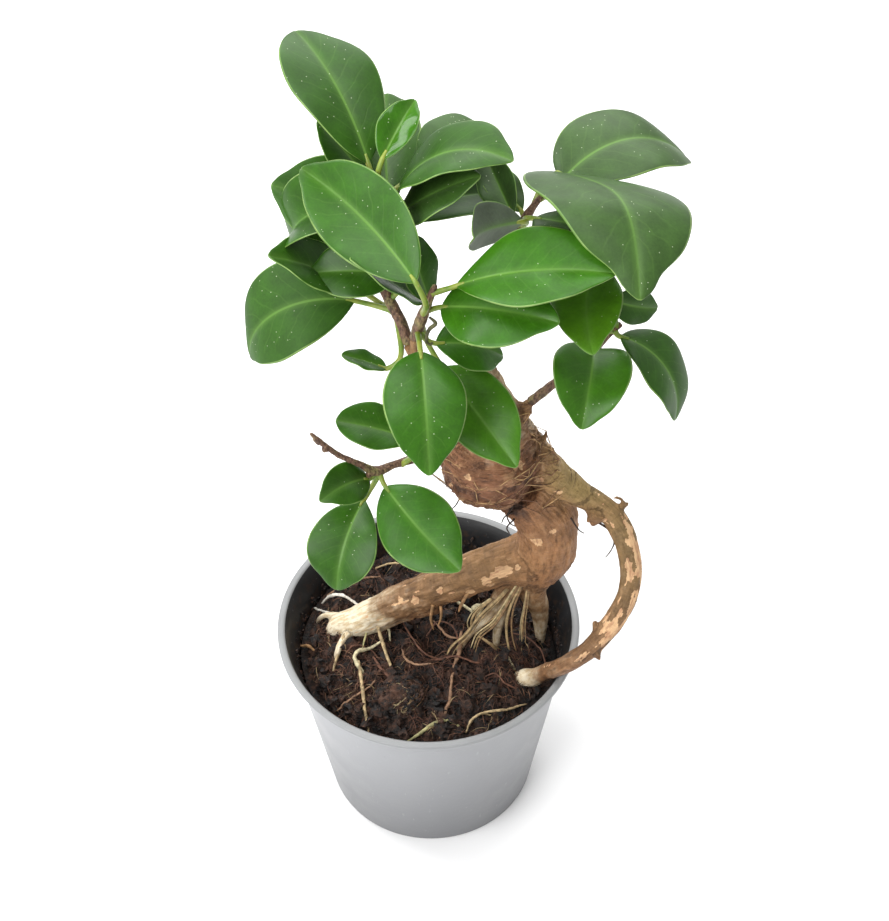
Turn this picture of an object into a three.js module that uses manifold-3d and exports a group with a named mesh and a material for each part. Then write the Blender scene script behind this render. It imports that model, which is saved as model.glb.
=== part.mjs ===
// Young chinese banyan with a raised, swollen rootstock, in a thin grey nursery pot.
// Millimetres, +Z up. The origin is the middle of the pot's foot, and -Y is the front.
import * as THREE from 'three';
import { mergeVertices } from 'three/addons/utils/BufferGeometryUtils.js';
import Module from 'manifold-3d';

const wasm = await Module();
wasm.setup();

// Gap between pieces that touch
const CLEAR = 0.35;

// Pot
const POT_HEIGHT = 92;
const LIP_RADIUS = 60;
const LIP_WIDTH = 2.6;
const LIP_DEPTH = 2;
const COLLAR_HEIGHT = 12;
const WALL_TOP_RADIUS = 54.5;
const COLLAR_FOOT = POT_HEIGHT - COLLAR_HEIGHT;
const FOOT_RADIUS = 43;
const POT_WALL = 1.3;
const POT_SEGMENTS = 44;
const FOOT_RING_WIDTH = 4;
const CHANNEL_INNER_RADIUS = 20;
const CHANNEL_HEIGHT = 2.5;
const CHANNEL_SLOPE = 2;
const DRAIN_COUNT = 8;
const DRAIN_RADIUS = 3.5;

// Soil
const SOIL_TOP = 78;
const SOIL_EDGE_DROP = 3;
const SOIL_RIGHT_DROP = 7;
const SOIL_MOUND = 2.5;
const SOIL_SEGMENTS = 32;
const SOIL_RINGS = 6;

// Leaf blades and their stalks
const BLADE_THICKNESS = 0.8;
const BLADE_STEPS = 6;
const BLADE_SUBSTEPS = 4;
const BLADE_ROWS = [-1, -0.5, 0, 0.5, 1];
const BLADE_BASE_HALF = 0.9;
const BLADE_TIP_HALF = 0.45;
const CREST_SPREAD = 0.16;
const CREST_EVEN = 0.3;
const STALK_RADIUS = 0.95;
const STALK_SIDES = 4;
const STALK_STEPS = 3;
const STALK_SINK = 3;

const materials = {
  pot: new THREE.MeshStandardMaterial({ color: 0x7d807f, roughness: 0.42, metalness: 0 }),
  soil: new THREE.MeshStandardMaterial({ color: 0x2a211b, roughness: 0.98, metalness: 0 }),
  bark: new THREE.MeshStandardMaterial({ color: 0x6b5a42, roughness: 0.8, metalness: 0 }),
  leaf: new THREE.MeshStandardMaterial({ color: 0x2f5a2a, roughness: 0.35, metalness: 0 }),
};

const vector = (p) => new THREE.Vector3(p[0], p[1], p[2]);
const radians = THREE.MathUtils.degToRad;
const lerp = THREE.MathUtils.lerp;

// A geometry with shared vertices, as a solid that can be joined and cut
function solid(geometry) {
  geometry.deleteAttribute('normal');
  geometry.deleteAttribute('uv');
  const merged = mergeVertices(geometry, 1e-4);
  const vertProperties = new Float32Array(merged.attributes.position.array);
  const triVerts = new Uint32Array(merged.index.array);
  return new wasm.Manifold(new wasm.Mesh({ numProp: 3, vertProperties, triVerts }));
}

function geometryOf(manifold) {
  const mesh = manifold.getMesh();
  const geometry = new THREE.BufferGeometry();
  geometry.setAttribute('position', new THREE.BufferAttribute(new Float32Array(mesh.vertProperties), 3));
  geometry.setIndex(new THREE.BufferAttribute(new Uint32Array(mesh.triVerts), 1));
  geometry.computeVertexNormals();
  return geometry;
}

const joined = (solids) => wasm.Manifold.union(solids);

// A value between the listed ones, at u from 0 to 1 along them
function along(values, u) {
  const place = u * (values.length - 1);
  const index = Math.min(Math.floor(place), values.length - 2);
  return lerp(values[index], values[index + 1], place - index);
}

// A closed rod bent along a smooth curve, with its own radius at each point, and lumps if it is gnarled
function limb({ points, radii, sides = 10, steps = 12, gnarl = 0 }, grow = 0) {
  const curve = new THREE.CatmullRomCurve3(points.map(vector), false, 'centripetal');
  const frames = curve.computeFrenetFrames(steps, false);
  const rod = new THREE.CylinderGeometry(1, 1, 1, sides, steps);
  const corner = rod.attributes.position;
  for (let i = 0; i < corner.count; i += 1) {
    const step = Math.round((0.5 - corner.getY(i)) * steps);
    const station = steps - step;
    const u = curve.getUtoTmapping(station / steps);
    const turn = Math.atan2(corner.getX(i), corner.getZ(i));
    const lumps = 1 + gnarl * Math.sin(3 * turn + 9 * u) + 0.6 * gnarl * Math.sin(5 * turn - 14 * u);
    const radius = along(radii, u) * lumps + grow;
    const end = station === 0 ? -grow : station === steps ? grow : 0;
    const place = curve.getPoint(u)
      .addScaledVector(frames.binormals[station], corner.getX(i) * radius)
      .addScaledVector(frames.normals[station], corner.getZ(i) * radius)
      .addScaledVector(frames.tangents[station], end);
    corner.setXYZ(i, place.x, place.y, place.z);
  }
  return solid(rod);
}

// Half the outline's width, from 0 at the stalk to 0 at the tip, as a share of its widest
function outlineAt(s, belly, blunt, nib) {
  const power = Math.log(0.5) / Math.log(belly);
  const body = Math.sin(Math.PI * s ** power) ** blunt;
  return body * (1 - nib * Math.exp(-(((s - 0.89) / 0.06) ** 2)));
}

// Share of the droop at s along a blade that bends mostly at its crest
function crestShare(s, crest) {
  const bump = Math.exp(-(((s - crest) / CREST_SPREAD) ** 2)) / (CREST_SPREAD * Math.sqrt(Math.PI));
  return CREST_EVEN + (1 - CREST_EVEN) * bump;
}

// Leaf blade. Angles in degrees: heading is the compass turn from +X, climb the rise from level,
// roll turns it about its length and twist goes on turning it, droop bends the midrib down, sweep
// bends it sideways, fold lifts the two halves. The belly is where the blade is widest, from 0 at
// the stalk to 1 at the tip, and a crest is where most of the droop lies.
function blade(leaf) {
  const { base, heading, climb, droop, sweep, roll, length, width, fold } = leaf;
  const { belly = 0.47, blunt = 0.7, nib = 0.15, twist = 0, crest } = leaf;
  const turn = radians(heading);
  const rise = radians(climb);
  const ahead = new THREE.Vector3(
    Math.cos(rise) * Math.cos(turn), Math.cos(rise) * Math.sin(turn), Math.sin(rise));
  const side = new THREE.Vector3(Math.sin(turn), -Math.cos(turn), 0);
  const upper = new THREE.Vector3().crossVectors(side, ahead);
  side.applyAxisAngle(ahead, -radians(roll));
  upper.applyAxisAngle(ahead, -radians(roll));
  const count = BLADE_STEPS * BLADE_SUBSTEPS;
  const place = vector(base);
  const lift = radians(fold);
  const corners = [];
  for (let i = 0; i <= count; i += 1) {
    const s = i / count;
    if (i % BLADE_SUBSTEPS === 0) {
      const least = lerp(BLADE_BASE_HALF, BLADE_TIP_HALF, s);
      const half = Math.max(least, 0.5 * width * outlineAt(s, belly, blunt, nib));
      for (const row of BLADE_ROWS) {
        const rest = place.clone()
          .addScaledVector(side, row * half * Math.cos(lift))
          .addScaledVector(upper, Math.abs(row) * half * Math.sin(lift));
        corners.push(rest.clone().addScaledVector(upper, BLADE_THICKNESS / 2));
        corners.push(rest.addScaledVector(upper, -BLADE_THICKNESS / 2));
      }
    }
    const share = crest === undefined ? 1 : crestShare(s, crest);
    ahead.applyAxisAngle(side, -radians((droop * share) / count));
    upper.applyAxisAngle(side, -radians((droop * share) / count));
    ahead.applyAxisAngle(upper, -radians(sweep / count));
    side.applyAxisAngle(upper, -radians(sweep / count));
    side.applyAxisAngle(ahead, -radians(twist / count));
    upper.applyAxisAngle(ahead, -radians(twist / count));
    place.addScaledVector(ahead, length / count);
  }
  return solid(plate(corners, BLADE_STEPS, BLADE_ROWS.length));
}

// A thin closed plate from a grid of upper and lower corners, split alike on both faces
function plate(corners, steps, rows) {
  const index = [];
  const top = (i, j) => 2 * (i * rows + j);
  const under = (i, j) => top(i, j) + 1;
  const quad = (a, b, c, d) => index.push(a, b, c, a, c, d);
  for (let i = 0; i < steps; i += 1) {
    for (let j = 0; j < rows - 1; j += 1) {
      quad(top(i, j), top(i, j + 1), top(i + 1, j + 1), top(i + 1, j));
      index.push(under(i, j), under(i + 1, j + 1), under(i, j + 1));
      index.push(under(i, j), under(i + 1, j), under(i + 1, j + 1));
    }
    quad(top(i, 0), top(i + 1, 0), under(i + 1, 0), under(i, 0));
    quad(top(i + 1, rows - 1), top(i, rows - 1), under(i, rows - 1), under(i + 1, rows - 1));
  }
  for (let j = 0; j < rows - 1; j += 1) {
    quad(top(0, j + 1), top(0, j), under(0, j), under(0, j + 1));
    quad(top(steps, j), top(steps, j + 1), under(steps, j + 1), under(steps, j));
  }
  const geometry = new THREE.BufferGeometry();
  const flat = corners.flatMap((corner) => corner.toArray());
  geometry.setAttribute('position', new THREE.Float32BufferAttribute(flat, 3));
  geometry.setIndex(index);
  return geometry;
}

// The stalk leaves its stem and runs into the start of the midrib
function stalk(leaf) {
  const turn = radians(leaf.heading);
  const rise = radians(leaf.climb);
  const ahead = new THREE.Vector3(
    Math.cos(rise) * Math.cos(turn), Math.cos(rise) * Math.sin(turn), Math.sin(rise));
  const start = vector(leaf.from);
  const base = vector(leaf.base);
  const reach = start.distanceTo(base);
  const bend = base.clone().addScaledVector(ahead, -0.4 * reach);
  const middle = start.clone().multiplyScalar(0.25)
    .addScaledVector(bend, 0.5)
    .addScaledVector(base, 0.25);
  const sunk = base.clone().addScaledVector(ahead, STALK_SINK);
  return limb({
    points: [start, middle, base, sunk].map((p) => p.toArray()),
    radii: [STALK_RADIUS, STALK_RADIUS, STALK_RADIUS, 0.6 * STALK_RADIUS],
    sides: STALK_SIDES,
    steps: STALK_STEPS,
  });
}

const leafyStem = (stems, leaves) => joined([
  ...stems.map((stem) => limb(stem)),
  ...leaves.map(stalk),
  ...leaves.map(blade),
]);

// Pot: a thin tapered wall that flares in a collar to a flat lip, and a raised ring in the foot
// with the drain holes
function pot() {
  const ringInner = FOOT_RADIUS - 1 - FOOT_RING_WIDTH;
  const lipUnderside = POT_HEIGHT - LIP_DEPTH;
  const profile = [
    [0, 0],
    [CHANNEL_INNER_RADIUS, 0],
    [CHANNEL_INNER_RADIUS + CHANNEL_SLOPE, CHANNEL_HEIGHT],
    [ringInner - CHANNEL_SLOPE, CHANNEL_HEIGHT],
    [ringInner, 0],
    [FOOT_RADIUS - 1, 0],
    [FOOT_RADIUS, 1],
    [WALL_TOP_RADIUS, COLLAR_FOOT],
    [WALL_TOP_RADIUS + 1.6, COLLAR_FOOT + 4],
    [LIP_RADIUS - 1.2, lipUnderside],
    [LIP_RADIUS - 0.2, lipUnderside + 0.3],
    [LIP_RADIUS, POT_HEIGHT - 0.7],
    [LIP_RADIUS - 0.6, POT_HEIGHT],
    [LIP_RADIUS - LIP_WIDTH, POT_HEIGHT],
    [LIP_RADIUS - LIP_WIDTH - 0.6, POT_HEIGHT - 0.8],
    [innerRadius(COLLAR_FOOT) + 1.6, COLLAR_FOOT + 4.2],
    [innerRadius(COLLAR_FOOT), COLLAR_FOOT],
    [innerRadius(3), 3],
    [FOOT_RADIUS - 2.6, POT_WALL],
    [ringInner, POT_WALL],
    [ringInner - CHANNEL_SLOPE, CHANNEL_HEIGHT + POT_WALL],
    [CHANNEL_INNER_RADIUS + CHANNEL_SLOPE, CHANNEL_HEIGHT + POT_WALL],
    [CHANNEL_INNER_RADIUS, POT_WALL],
    [0, POT_WALL],
  ].map(([x, y]) => new THREE.Vector2(x, y));
  const shell = new THREE.LatheGeometry(profile, POT_SEGMENTS);
  shell.rotateX(Math.PI / 2);
  const channelRadius = (CHANNEL_INNER_RADIUS + ringInner) / 2;
  const drains = [];
  for (let i = 0; i < DRAIN_COUNT; i += 1) {
    const turn = (2 * Math.PI * i) / DRAIN_COUNT;
    const drain = new THREE.CylinderGeometry(DRAIN_RADIUS, DRAIN_RADIUS, 20, 12);
    drain.rotateX(Math.PI / 2);
    drain.translate(channelRadius * Math.cos(turn), channelRadius * Math.sin(turn), 0);
    drains.push(solid(drain));
  }
  return solid(shell).subtract(joined(drains));
}

// Inside radius of the pot's wall at a height under the collar
function innerRadius(z) {
  const slope = (WALL_TOP_RADIUS - FOOT_RADIUS) / (COLLAR_FOOT - 1);
  return FOOT_RADIUS + (z - 1) * slope - POT_WALL;
}

// Height of the soil's surface over its level: a mound, clods, and an edge that has shrunk down
function soilRise(x, y) {
  const out = Math.hypot(x, y) / innerRadius(SOIL_TOP);
  const mound = SOIL_MOUND * (1 - out * out);
  const clods = 1.3 * Math.sin(0.23 * x + 1) * Math.sin(0.27 * y - 0.5)
    + 0.7 * Math.sin(0.51 * x + 0.37 * y);
  const lump = 4 * Math.exp(-(((x + 12) / 9) ** 2) - (((y + 29) / 7) ** 2));
  const edge = SOIL_EDGE_DROP * out ** 6;
  const right = SOIL_RIGHT_DROP * out ** 5 * Math.exp(-(((y - 8) / 22) ** 2)) * (x > 0 ? 1 : 0);
  return mound + clods * (1 - out ** 4) + lump - edge - right;
}

function soil(roots) {
  const bottom = CHANNEL_HEIGHT + POT_WALL + CLEAR;
  const topRadius = innerRadius(SOIL_TOP - SOIL_RIGHT_DROP) - CLEAR;
  const profile = [[0, bottom], [innerRadius(bottom) - CLEAR, bottom], [topRadius, SOIL_TOP]];
  for (let ring = SOIL_RINGS - 1; ring >= 0; ring -= 1) {
    profile.push([(topRadius * ring) / SOIL_RINGS, SOIL_TOP]);
  }
  const body = new THREE.LatheGeometry(profile.map(([x, y]) => new THREE.Vector2(x, y)), SOIL_SEGMENTS);
  body.rotateX(Math.PI / 2);
  const corner = body.attributes.position;
  for (let i = 0; i < corner.count; i += 1) {
    if (corner.getZ(i) > SOIL_TOP - 1) {
      corner.setZ(i, SOIL_TOP + soilRise(corner.getX(i), corner.getY(i)));
    }
  }
  return solid(body).subtract(joined(roots.map((root) => limb(root, CLEAR))));
}

// Roots that reach the soil, each from the rootstock down to its end
const roots = [
  // left leg, thick and nearly straight
  {
    points: [[46, 5, 128], [30, 5, 122], [9, 6, 109], [-13, 7, 94], [-26, 7, 85], [-36, 8, 79], [-41, 8, 70]],
    radii: [9, 8.2, 7.7, 7.4, 6.8, 5.2, 2.6],
    sides: 10,
    steps: 13,
    gnarl: 0.03,
  },
  // upright root under the column
  {
    points: [[44, 5, 122], [41, 5, 106], [44, 5, 94], [45, 5, 80], [45, 5, 68]],
    radii: [9, 5.8, 4, 2.6, 1.6],
    sides: 10,
    steps: 10,
    gnarl: 0.04,
  },
  // arched root that swings out to the right, over the lip and back in
  {
    points: [[40, 6, 163], [50, 5, 164], [60, 2, 162], [69, -3, 158], [75, -10, 148], [76, -18, 135],
      [70, -25, 122], [61, -30, 112], [53, -30, 103], [46, -25.5, 92], [42, -22, 84], [38, -18.5, 78.5],
      [34, -16, 74]],
    radii: [7, 5.4, 4.6, 4.4, 4.4, 4.2, 4, 3.8, 3.5, 3.4, 3.4, 3.2, 2.2],
    sides: 8,
    steps: 22,
    gnarl: 0.03,
  },
  // two pale flattened roots in the middle
  {
    points: [[36, 3, 116], [31, 0, 105], [28, -2, 95], [27, -2, 84], [27, -2, 74]],
    radii: [3.2, 2.8, 2.2, 1.8, 1.3],
    sides: 7,
    steps: 8,
  },
  {
    points: [[32, 3, 113], [26, 0, 104], [23, -2, 97], [16, -4, 89], [12, -5, 80], [11, -5, 73]],
    radii: [3, 2.4, 2.1, 1.8, 1.5, 1.1],
    sides: 7,
    steps: 9,
  },
  // thin white roots at the end of the leg
  {
    points: [[-30, 5, 83], [-35, -2, 82], [-37, -8, 80], [-38, -12, 72]],
    radii: [2, 1.5, 1.3, 1],
    sides: 6,
    steps: 7,
  },
  {
    points: [[-31, 9, 83], [-37, 11, 83], [-43, 13, 80], [-47, 14, 72]],
    radii: [2, 1.4, 1.2, 1],
    sides: 6,
    steps: 7,
  },
];

// The rest of the woody body, above the soil
const wood = [
  // swollen rootstock, drawn in to the neck
  {
    points: [[33, 5, 162], [29, 5, 169], [25, 5, 178], [24, 5, 188], [25, 5, 198], [23, 5, 209],
      [22, 5, 219], [21, 5, 228], [20, 5, 235]],
    radii: [6, 13, 18.5, 18.5, 13, 8, 5.8, 4.2, 3],
    sides: 14,
    steps: 14,
    gnarl: 0.035,
  },
  // ridge from the neck down to the arched root
  {
    points: [[21, 5, 228], [25, 5, 213], [31, 6, 198], [37, 6, 185], [45, 5, 174], [54, 4, 165.5],
      [62, 1, 161.5]],
    radii: [4, 6, 7, 7.6, 7.4, 5.8, 3.6],
    sides: 12,
    steps: 9,
    gnarl: 0.03,
  },
  // column under it
  {
    points: [[36, 5, 166], [44, 5, 152], [46, 5, 140], [45, 5, 126], [43, 5, 116]],
    radii: [11, 12, 11.6, 11.5, 8.5],
    sides: 12,
    steps: 8,
    gnarl: 0.03,
  },
  // stem from the rootstock's left shoulder to the fork
  {
    points: [[18, 3, 190], [9, 0, 204], [3, -3, 222], [-1, -4, 238], [-4, -5, 248]],
    radii: [6, 3.6, 2.6, 2.3, 2.1],
    sides: 8,
    steps: 10,
  },
  // stubs that carry the leafy stems
  { points: [[-1, -5, 240], [-2, -8, 249], [-2, -9, 255]], radii: [2, 1.9, 1.8], sides: 7, steps: 4 },
  { points: [[20, 5, 228], [21, 6, 236], [22, 8, 242]], radii: [3, 2.2, 1.9], sides: 7, steps: 4 },
  { points: [[26, 5, 196], [33, 6, 203], [38, 6, 209]], radii: [4, 2, 1.8], sides: 7, steps: 4 },
  { points: [[14, 4, 183], [3, 3, 184], [-3, 2, 184.5]], radii: [4, 2.4, 2], sides: 7, steps: 4 },
];

// Crown shoot, at the upper left
const crownStem = [
  {
    points: [[-4.2, -4.8, 249], [-7, -2, 257], [-12, 4, 266], [-14, 9, 282], [-13, 13, 303]],
    radii: [2, 1.9, 1.8, 1.6, 1.3],
    sides: 7,
    steps: 10,
  },
];
const crownLeaves = [
  // tallest, at the top left
  {
    from: [-13, 12, 298],
    base: [-16, 20, 305],
    heading: 115, climb: 50, droop: 50, sweep: 5, roll: -15,
    length: 55, width: 34, fold: 5, belly: 0.55,
  },
  // new glossy one, folded
  {
    from: [-13, 13, 301],
    base: [-11, 13, 312],
    heading: 55, climb: 40, droop: 30, sweep: 0, roll: -15,
    length: 23, width: 14, fold: 25,
  },
  // behind the new one
  {
    from: [-14, 10, 284],
    base: [-10, 25, 288],
    heading: 95, climb: 25, droop: 25, sweep: 0, roll: 15,
    length: 44, width: 27, fold: 10,
  },
  // behind the tallest
  {
    from: [-14, 10, 288],
    base: [-16, 27, 292],
    heading: 145, climb: 40, droop: 5, sweep: 0, roll: 5,
    length: 26, width: 16, fold: 5,
  },
  // far left
  {
    from: [-14, 9, 279],
    base: [-16, 28, 277],
    heading: 175, climb: 20, droop: 10, sweep: 0, roll: 35,
    length: 35, width: 31, fold: 5,
  },
  // curled, before the far left one
  {
    from: [-14, 9, 282],
    base: [-10, 14, 286],
    heading: 190, climb: 45, droop: 145, sweep: -10, roll: 25,
    length: 49, width: 30, fold: 25, belly: 0.55,
  },
  // left, under the curled one
  {
    from: [-8, -1, 258],
    base: [-20, 8, 261],
    heading: 190, climb: 45, droop: 10, sweep: -15, roll: 5,
    length: 39, width: 25, fold: 10,
  },
  // large, at the lower left
  {
    from: [-9, 0, 259],
    base: [-22, 4, 260],
    heading: 185, climb: 20, droop: 105, sweep: -30, roll: 25,
    length: 54, width: 36, fold: 0,
  },
  // under the front shoot's top one
  {
    from: [-10, 2, 262],
    base: [-7, 0, 275],
    heading: 190, climb: 20, droop: 55, sweep: 0, roll: 35,
    length: 31, width: 20, fold: 10,
  },
  // smallest, low on the stem
  {
    from: [-8, -1, 259],
    base: [-12, -8, 240],
    heading: 175, climb: 25, droop: 5, sweep: -5, roll: -5,
    length: 16, width: 10, fold: 10,
  },
  // long, arched to the right
  {
    from: [-14, 11, 290],
    base: [-7, 14, 297],
    heading: 15, climb: 65, droop: 70, sweep: 35, roll: 25,
    length: 50, width: 30, fold: 5,
  },
  // under the long one
  {
    from: [-14, 9, 284],
    base: [-7, 10, 291],
    heading: -20, climb: 50, droop: 20, sweep: 5, roll: -15,
    length: 37, width: 24, fold: 5,
  },
  // lower right of the crown
  {
    from: [-14, 8, 278],
    base: [-5, 20, 280],
    heading: 30, climb: 20, droop: 65, sweep: 10, roll: -15,
    length: 46, width: 27, fold: 20, belly: 0.55,
  },
  // at the back
  {
    from: [-13, 12, 296],
    base: [1, 26, 299],
    heading: 45, climb: 30, droop: 70, sweep: 0, roll: 0,
    length: 35, width: 21, fold: 10,
  },
];

// Front shoot, with the blades that hang before the rootstock and reach to the right
const frontStem = [
  {
    points: [[-2, -9.1, 255.4], [0, -11, 264], [2, -13, 272], [5, -14, 282]],
    radii: [1.8, 2.1, 1.6, 1.3],
    sides: 7,
    steps: 7,
  },
];
const frontLeaves = [
  // large one before the crown
  {
    from: [1, -12, 268],
    base: [-1, -20, 289],
    heading: 125, climb: 23, droop: 15, sweep: -20, roll: 30,
    length: 59, width: 30, fold: 20,
  },
  // close behind it
  {
    from: [2, -13, 274],
    base: [3, -9, 271],
    heading: 135, climb: 65, droop: -5, sweep: 0, roll: -5,
    length: 26, width: 16, fold: 10,
  },
  // large, to the right
  {
    from: [4, -14, 279],
    base: [12, -15, 283],
    heading: -15, climb: 34, droop: 36, sweep: 5, roll: -15,
    length: 53, width: 32, fold: 10, belly: 0.52, blunt: 0.8,
  },
  // below it
  {
    from: [1, -12, 269],
    base: [7, -14, 273],
    heading: -35, climb: 30, droop: 30, sweep: 5, roll: -30,
    length: 44, width: 28, fold: 5,
  },
  // lowest on the right
  {
    from: [-1, -10, 260],
    base: [5, -14, 257],
    heading: 10, climb: -5, droop: 45, sweep: 5, roll: -20,
    length: 27, width: 21, fold: 5,
  },
  // hanging before the rootstock
  {
    from: [-1, -10, 259],
    base: [0, -22, 261],
    heading: -85, climb: -10, droop: 40, sweep: -5, roll: 10,
    length: 42, width: 28, fold: 0, belly: 0.43,
  },
  // hanging beside it
  {
    from: [0, -11, 264],
    base: [7, -10, 242],
    heading: -60, climb: -5, droop: 25, sweep: -5, roll: -10,
    length: 44, width: 26, fold: 15,
  },
  // low at the left
  {
    from: [1, -12, 268],
    base: [1, -8, 270],
    heading: 190, climb: 45, droop: 0, sweep: -5, roll: -5,
    length: 33, width: 21, fold: 10,
  },
];

// Back shoot, behind and to the right, with the largest blade
const backStem = [
  {
    points: [[22.1, 8.2, 242.4], [26, 13, 254], [31, 19, 268], [35, 22, 279], [41, 26, 286]],
    radii: [1.9, 1.8, 1.7, 1.6, 1.2],
    sides: 7,
    steps: 9,
  },
];
const backLeaves = [
  // largest, arched towards the viewer
  {
    from: [37, 23, 281],
    base: [46, 35, 288],
    heading: -55, climb: 28, droop: 64, sweep: 15, roll: 28,
    length: 80, width: 54, fold: -4, belly: 0.41, nib: 0.3, crest: 0.58, twist: -10,
  },
  // top right, arched away
  {
    from: [40, 25, 285],
    base: [48, 38, 282],
    heading: 40, climb: 35, droop: 90, sweep: 25, roll: 0,
    length: 60, width: 37, fold: 0, belly: 0.45,
  },
  // young and folded
  {
    from: [34, 21, 276],
    base: [31, 22, 281],
    heading: 120, climb: 35, droop: 10, sweep: 0, roll: 40,
    length: 24, width: 15, fold: 25,
  },
  // young, behind it
  {
    from: [34, 21, 276],
    base: [34, 25, 280],
    heading: 135, climb: 30, droop: 10, sweep: 0, roll: 10,
    length: 22, width: 13, fold: 15,
  },
  // curled, at the left
  {
    from: [34, 21, 277],
    base: [34, 16, 283],
    heading: 200, climb: 10, droop: 60, sweep: -5, roll: -110,
    length: 29, width: 18, fold: 25,
  },
  // narrow one in front
  {
    from: [35, 22, 279],
    base: [38, 14, 286],
    heading: -45, climb: 25, droop: 5, sweep: 5, roll: 0,
    length: 31, width: 19, fold: 5,
  },
];

// Low shoot at the right
const rightStem = [
  {
    points: [[38.3, 6, 209.3], [46, 6, 218], [56, 6, 229], [63, 7, 239], [68, 8, 244]],
    radii: [1.8, 1.6, 1.5, 1.4, 1.1],
    sides: 7,
    steps: 8,
  },
];
const rightLeaves = [
  // heart shaped
  {
    from: [58, 6, 232],
    base: [59, 4, 236],
    heading: -95, climb: 25, droop: 80, sweep: 5, roll: 5,
    length: 34, width: 29, fold: 20, belly: 0.42,
  },
  // light green, high
  {
    from: [65, 7, 241],
    base: [58, 8, 272],
    heading: -110, climb: 2, droop: 15, sweep: -30, roll: 0,
    length: 41, width: 24, fold: 5, belly: 0.45,
  },
  // short one behind
  {
    from: [67, 8, 243],
    base: [64, 8, 255],
    heading: -5, climb: -20, droop: 40, sweep: -10, roll: -55,
    length: 20, width: 13, fold: 5,
  },
  // drooping, at the far right
  {
    from: [66, 7, 242],
    base: [68, 6, 240],
    heading: -15, climb: -5, droop: 85, sweep: 30, roll: 0,
    length: 40, width: 26, fold: 0,
  },
];

// Low shoot at the left, on a knotty twig with a dead tip
const leftStem = [
  {
    points: [[-3.9, 2, 184.5], [-11, -2, 186], [-17, -6, 187], [-23, -8, 193], [-30, -9, 199],
      [-37, -10, 208], [-39, -10, 211]],
    radii: [2, 1.8, 2.4, 1.7, 1.6, 1.4, 1],
    sides: 7,
    steps: 12,
    gnarl: 0.05,
  },
];
const leftLeaves = [
  // over the twig
  {
    from: [-8, -1, 185],
    base: [-4, -6, 203],
    heading: 175, climb: 25, droop: 15, sweep: -5, roll: 15,
    length: 28, width: 19, fold: 10, belly: 0.55,
  },
  // small and curled
  {
    from: [-17, -6, 187],
    base: [-20, -8, 185],
    heading: 225, climb: 40, droop: 45, sweep: -25, roll: 35,
    length: 24, width: 16, fold: 10,
  },
  // lower left
  {
    from: [-16, -6, 186],
    base: [-22, -10, 176],
    heading: -115, climb: 0, droop: 70, sweep: -5, roll: 0,
    length: 36, width: 27, fold: 10, belly: 0.55,
  },
  // large, lower right
  {
    from: [-16, -6, 186],
    base: [-14, -10, 183],
    heading: -60, climb: -5, droop: 5, sweep: -10, roll: -25,
    length: 45, width: 28, fold: 0, belly: 0.48,
  },
];

const group = new THREE.Group();

function addPiece(name, manifold, material) {
  const mesh = new THREE.Mesh(geometryOf(manifold), material);
  mesh.name = name;
  group.add(mesh);
}

addPiece('pot', pot(), materials.pot);
addPiece('soil', soil(roots), materials.soil);
addPiece('trunk', joined([...roots, ...wood].map((piece) => limb(piece))), materials.bark);
addPiece('crown_shoot', leafyStem(crownStem, crownLeaves), materials.leaf);
addPiece('front_shoot', leafyStem(frontStem, frontLeaves), materials.leaf);
addPiece('back_shoot', leafyStem(backStem, backLeaves), materials.leaf);
addPiece('right_shoot', leafyStem(rightStem, rightLeaves), materials.leaf);
addPiece('left_shoot', leafyStem(leftStem, leftLeaves), materials.leaf);

export default group;
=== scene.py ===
# Young chinese banyan with a raised, swollen rootstock in a thin grey nursery pot, dressed round the
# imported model. The lists below hold millimetres and degrees, and meshes are made in metres.
# +Z is up, -Y is the front, and the origin is the middle of the pot's foot.
import math
import random
from collections import namedtuple
from functools import partial

import bpy
import numpy as np
from bpy.props import FloatProperty, FloatVectorProperty, IntProperty, PointerProperty
from mathutils import Matrix, Quaternion, Vector, noise
from mathutils.bvhtree import BVHTree


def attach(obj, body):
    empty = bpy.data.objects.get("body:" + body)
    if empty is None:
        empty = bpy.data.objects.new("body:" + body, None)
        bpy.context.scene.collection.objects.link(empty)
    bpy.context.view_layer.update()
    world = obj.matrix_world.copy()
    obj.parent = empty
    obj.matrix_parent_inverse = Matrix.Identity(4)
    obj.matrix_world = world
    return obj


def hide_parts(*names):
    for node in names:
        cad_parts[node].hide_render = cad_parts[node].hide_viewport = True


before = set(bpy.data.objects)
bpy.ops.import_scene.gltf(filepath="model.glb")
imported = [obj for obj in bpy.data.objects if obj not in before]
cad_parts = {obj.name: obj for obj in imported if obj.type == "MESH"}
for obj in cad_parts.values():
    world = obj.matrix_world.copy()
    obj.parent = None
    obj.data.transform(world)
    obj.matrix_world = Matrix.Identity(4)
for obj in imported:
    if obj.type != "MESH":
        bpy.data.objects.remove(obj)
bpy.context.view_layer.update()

bl_info = {
    "name": "Potted Chinese Banyan",
    "version": (1, 0, 0),
    "blender": (4, 5, 0),
    "location": "3D View > Sidebar > Bonsai",
    "description": "Builds the pot, soil, woody body, leafy shoots and stage of a young potted banyan",
    "category": "Object",
}

MM = 0.001

# A woody limb. Its lists run from its first point to its last: radius, how olive, red or pale the bark
# is there, and how much of it is scraped off the outer side. Grain and wrap are how tightly the bark's
# pattern is packed lengthwise and round the limb, and tone lightens or darkens it, partly as the bark's
# own colour and partly as painted light and shade.
Limb = namedtuple(
    "Limb",
    "points radii olive red pale scraped grain wrap tone",
    defaults=((0.3,), (0.2,), (0,), (0,), 0.3, 1, (1,)),
)
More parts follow.
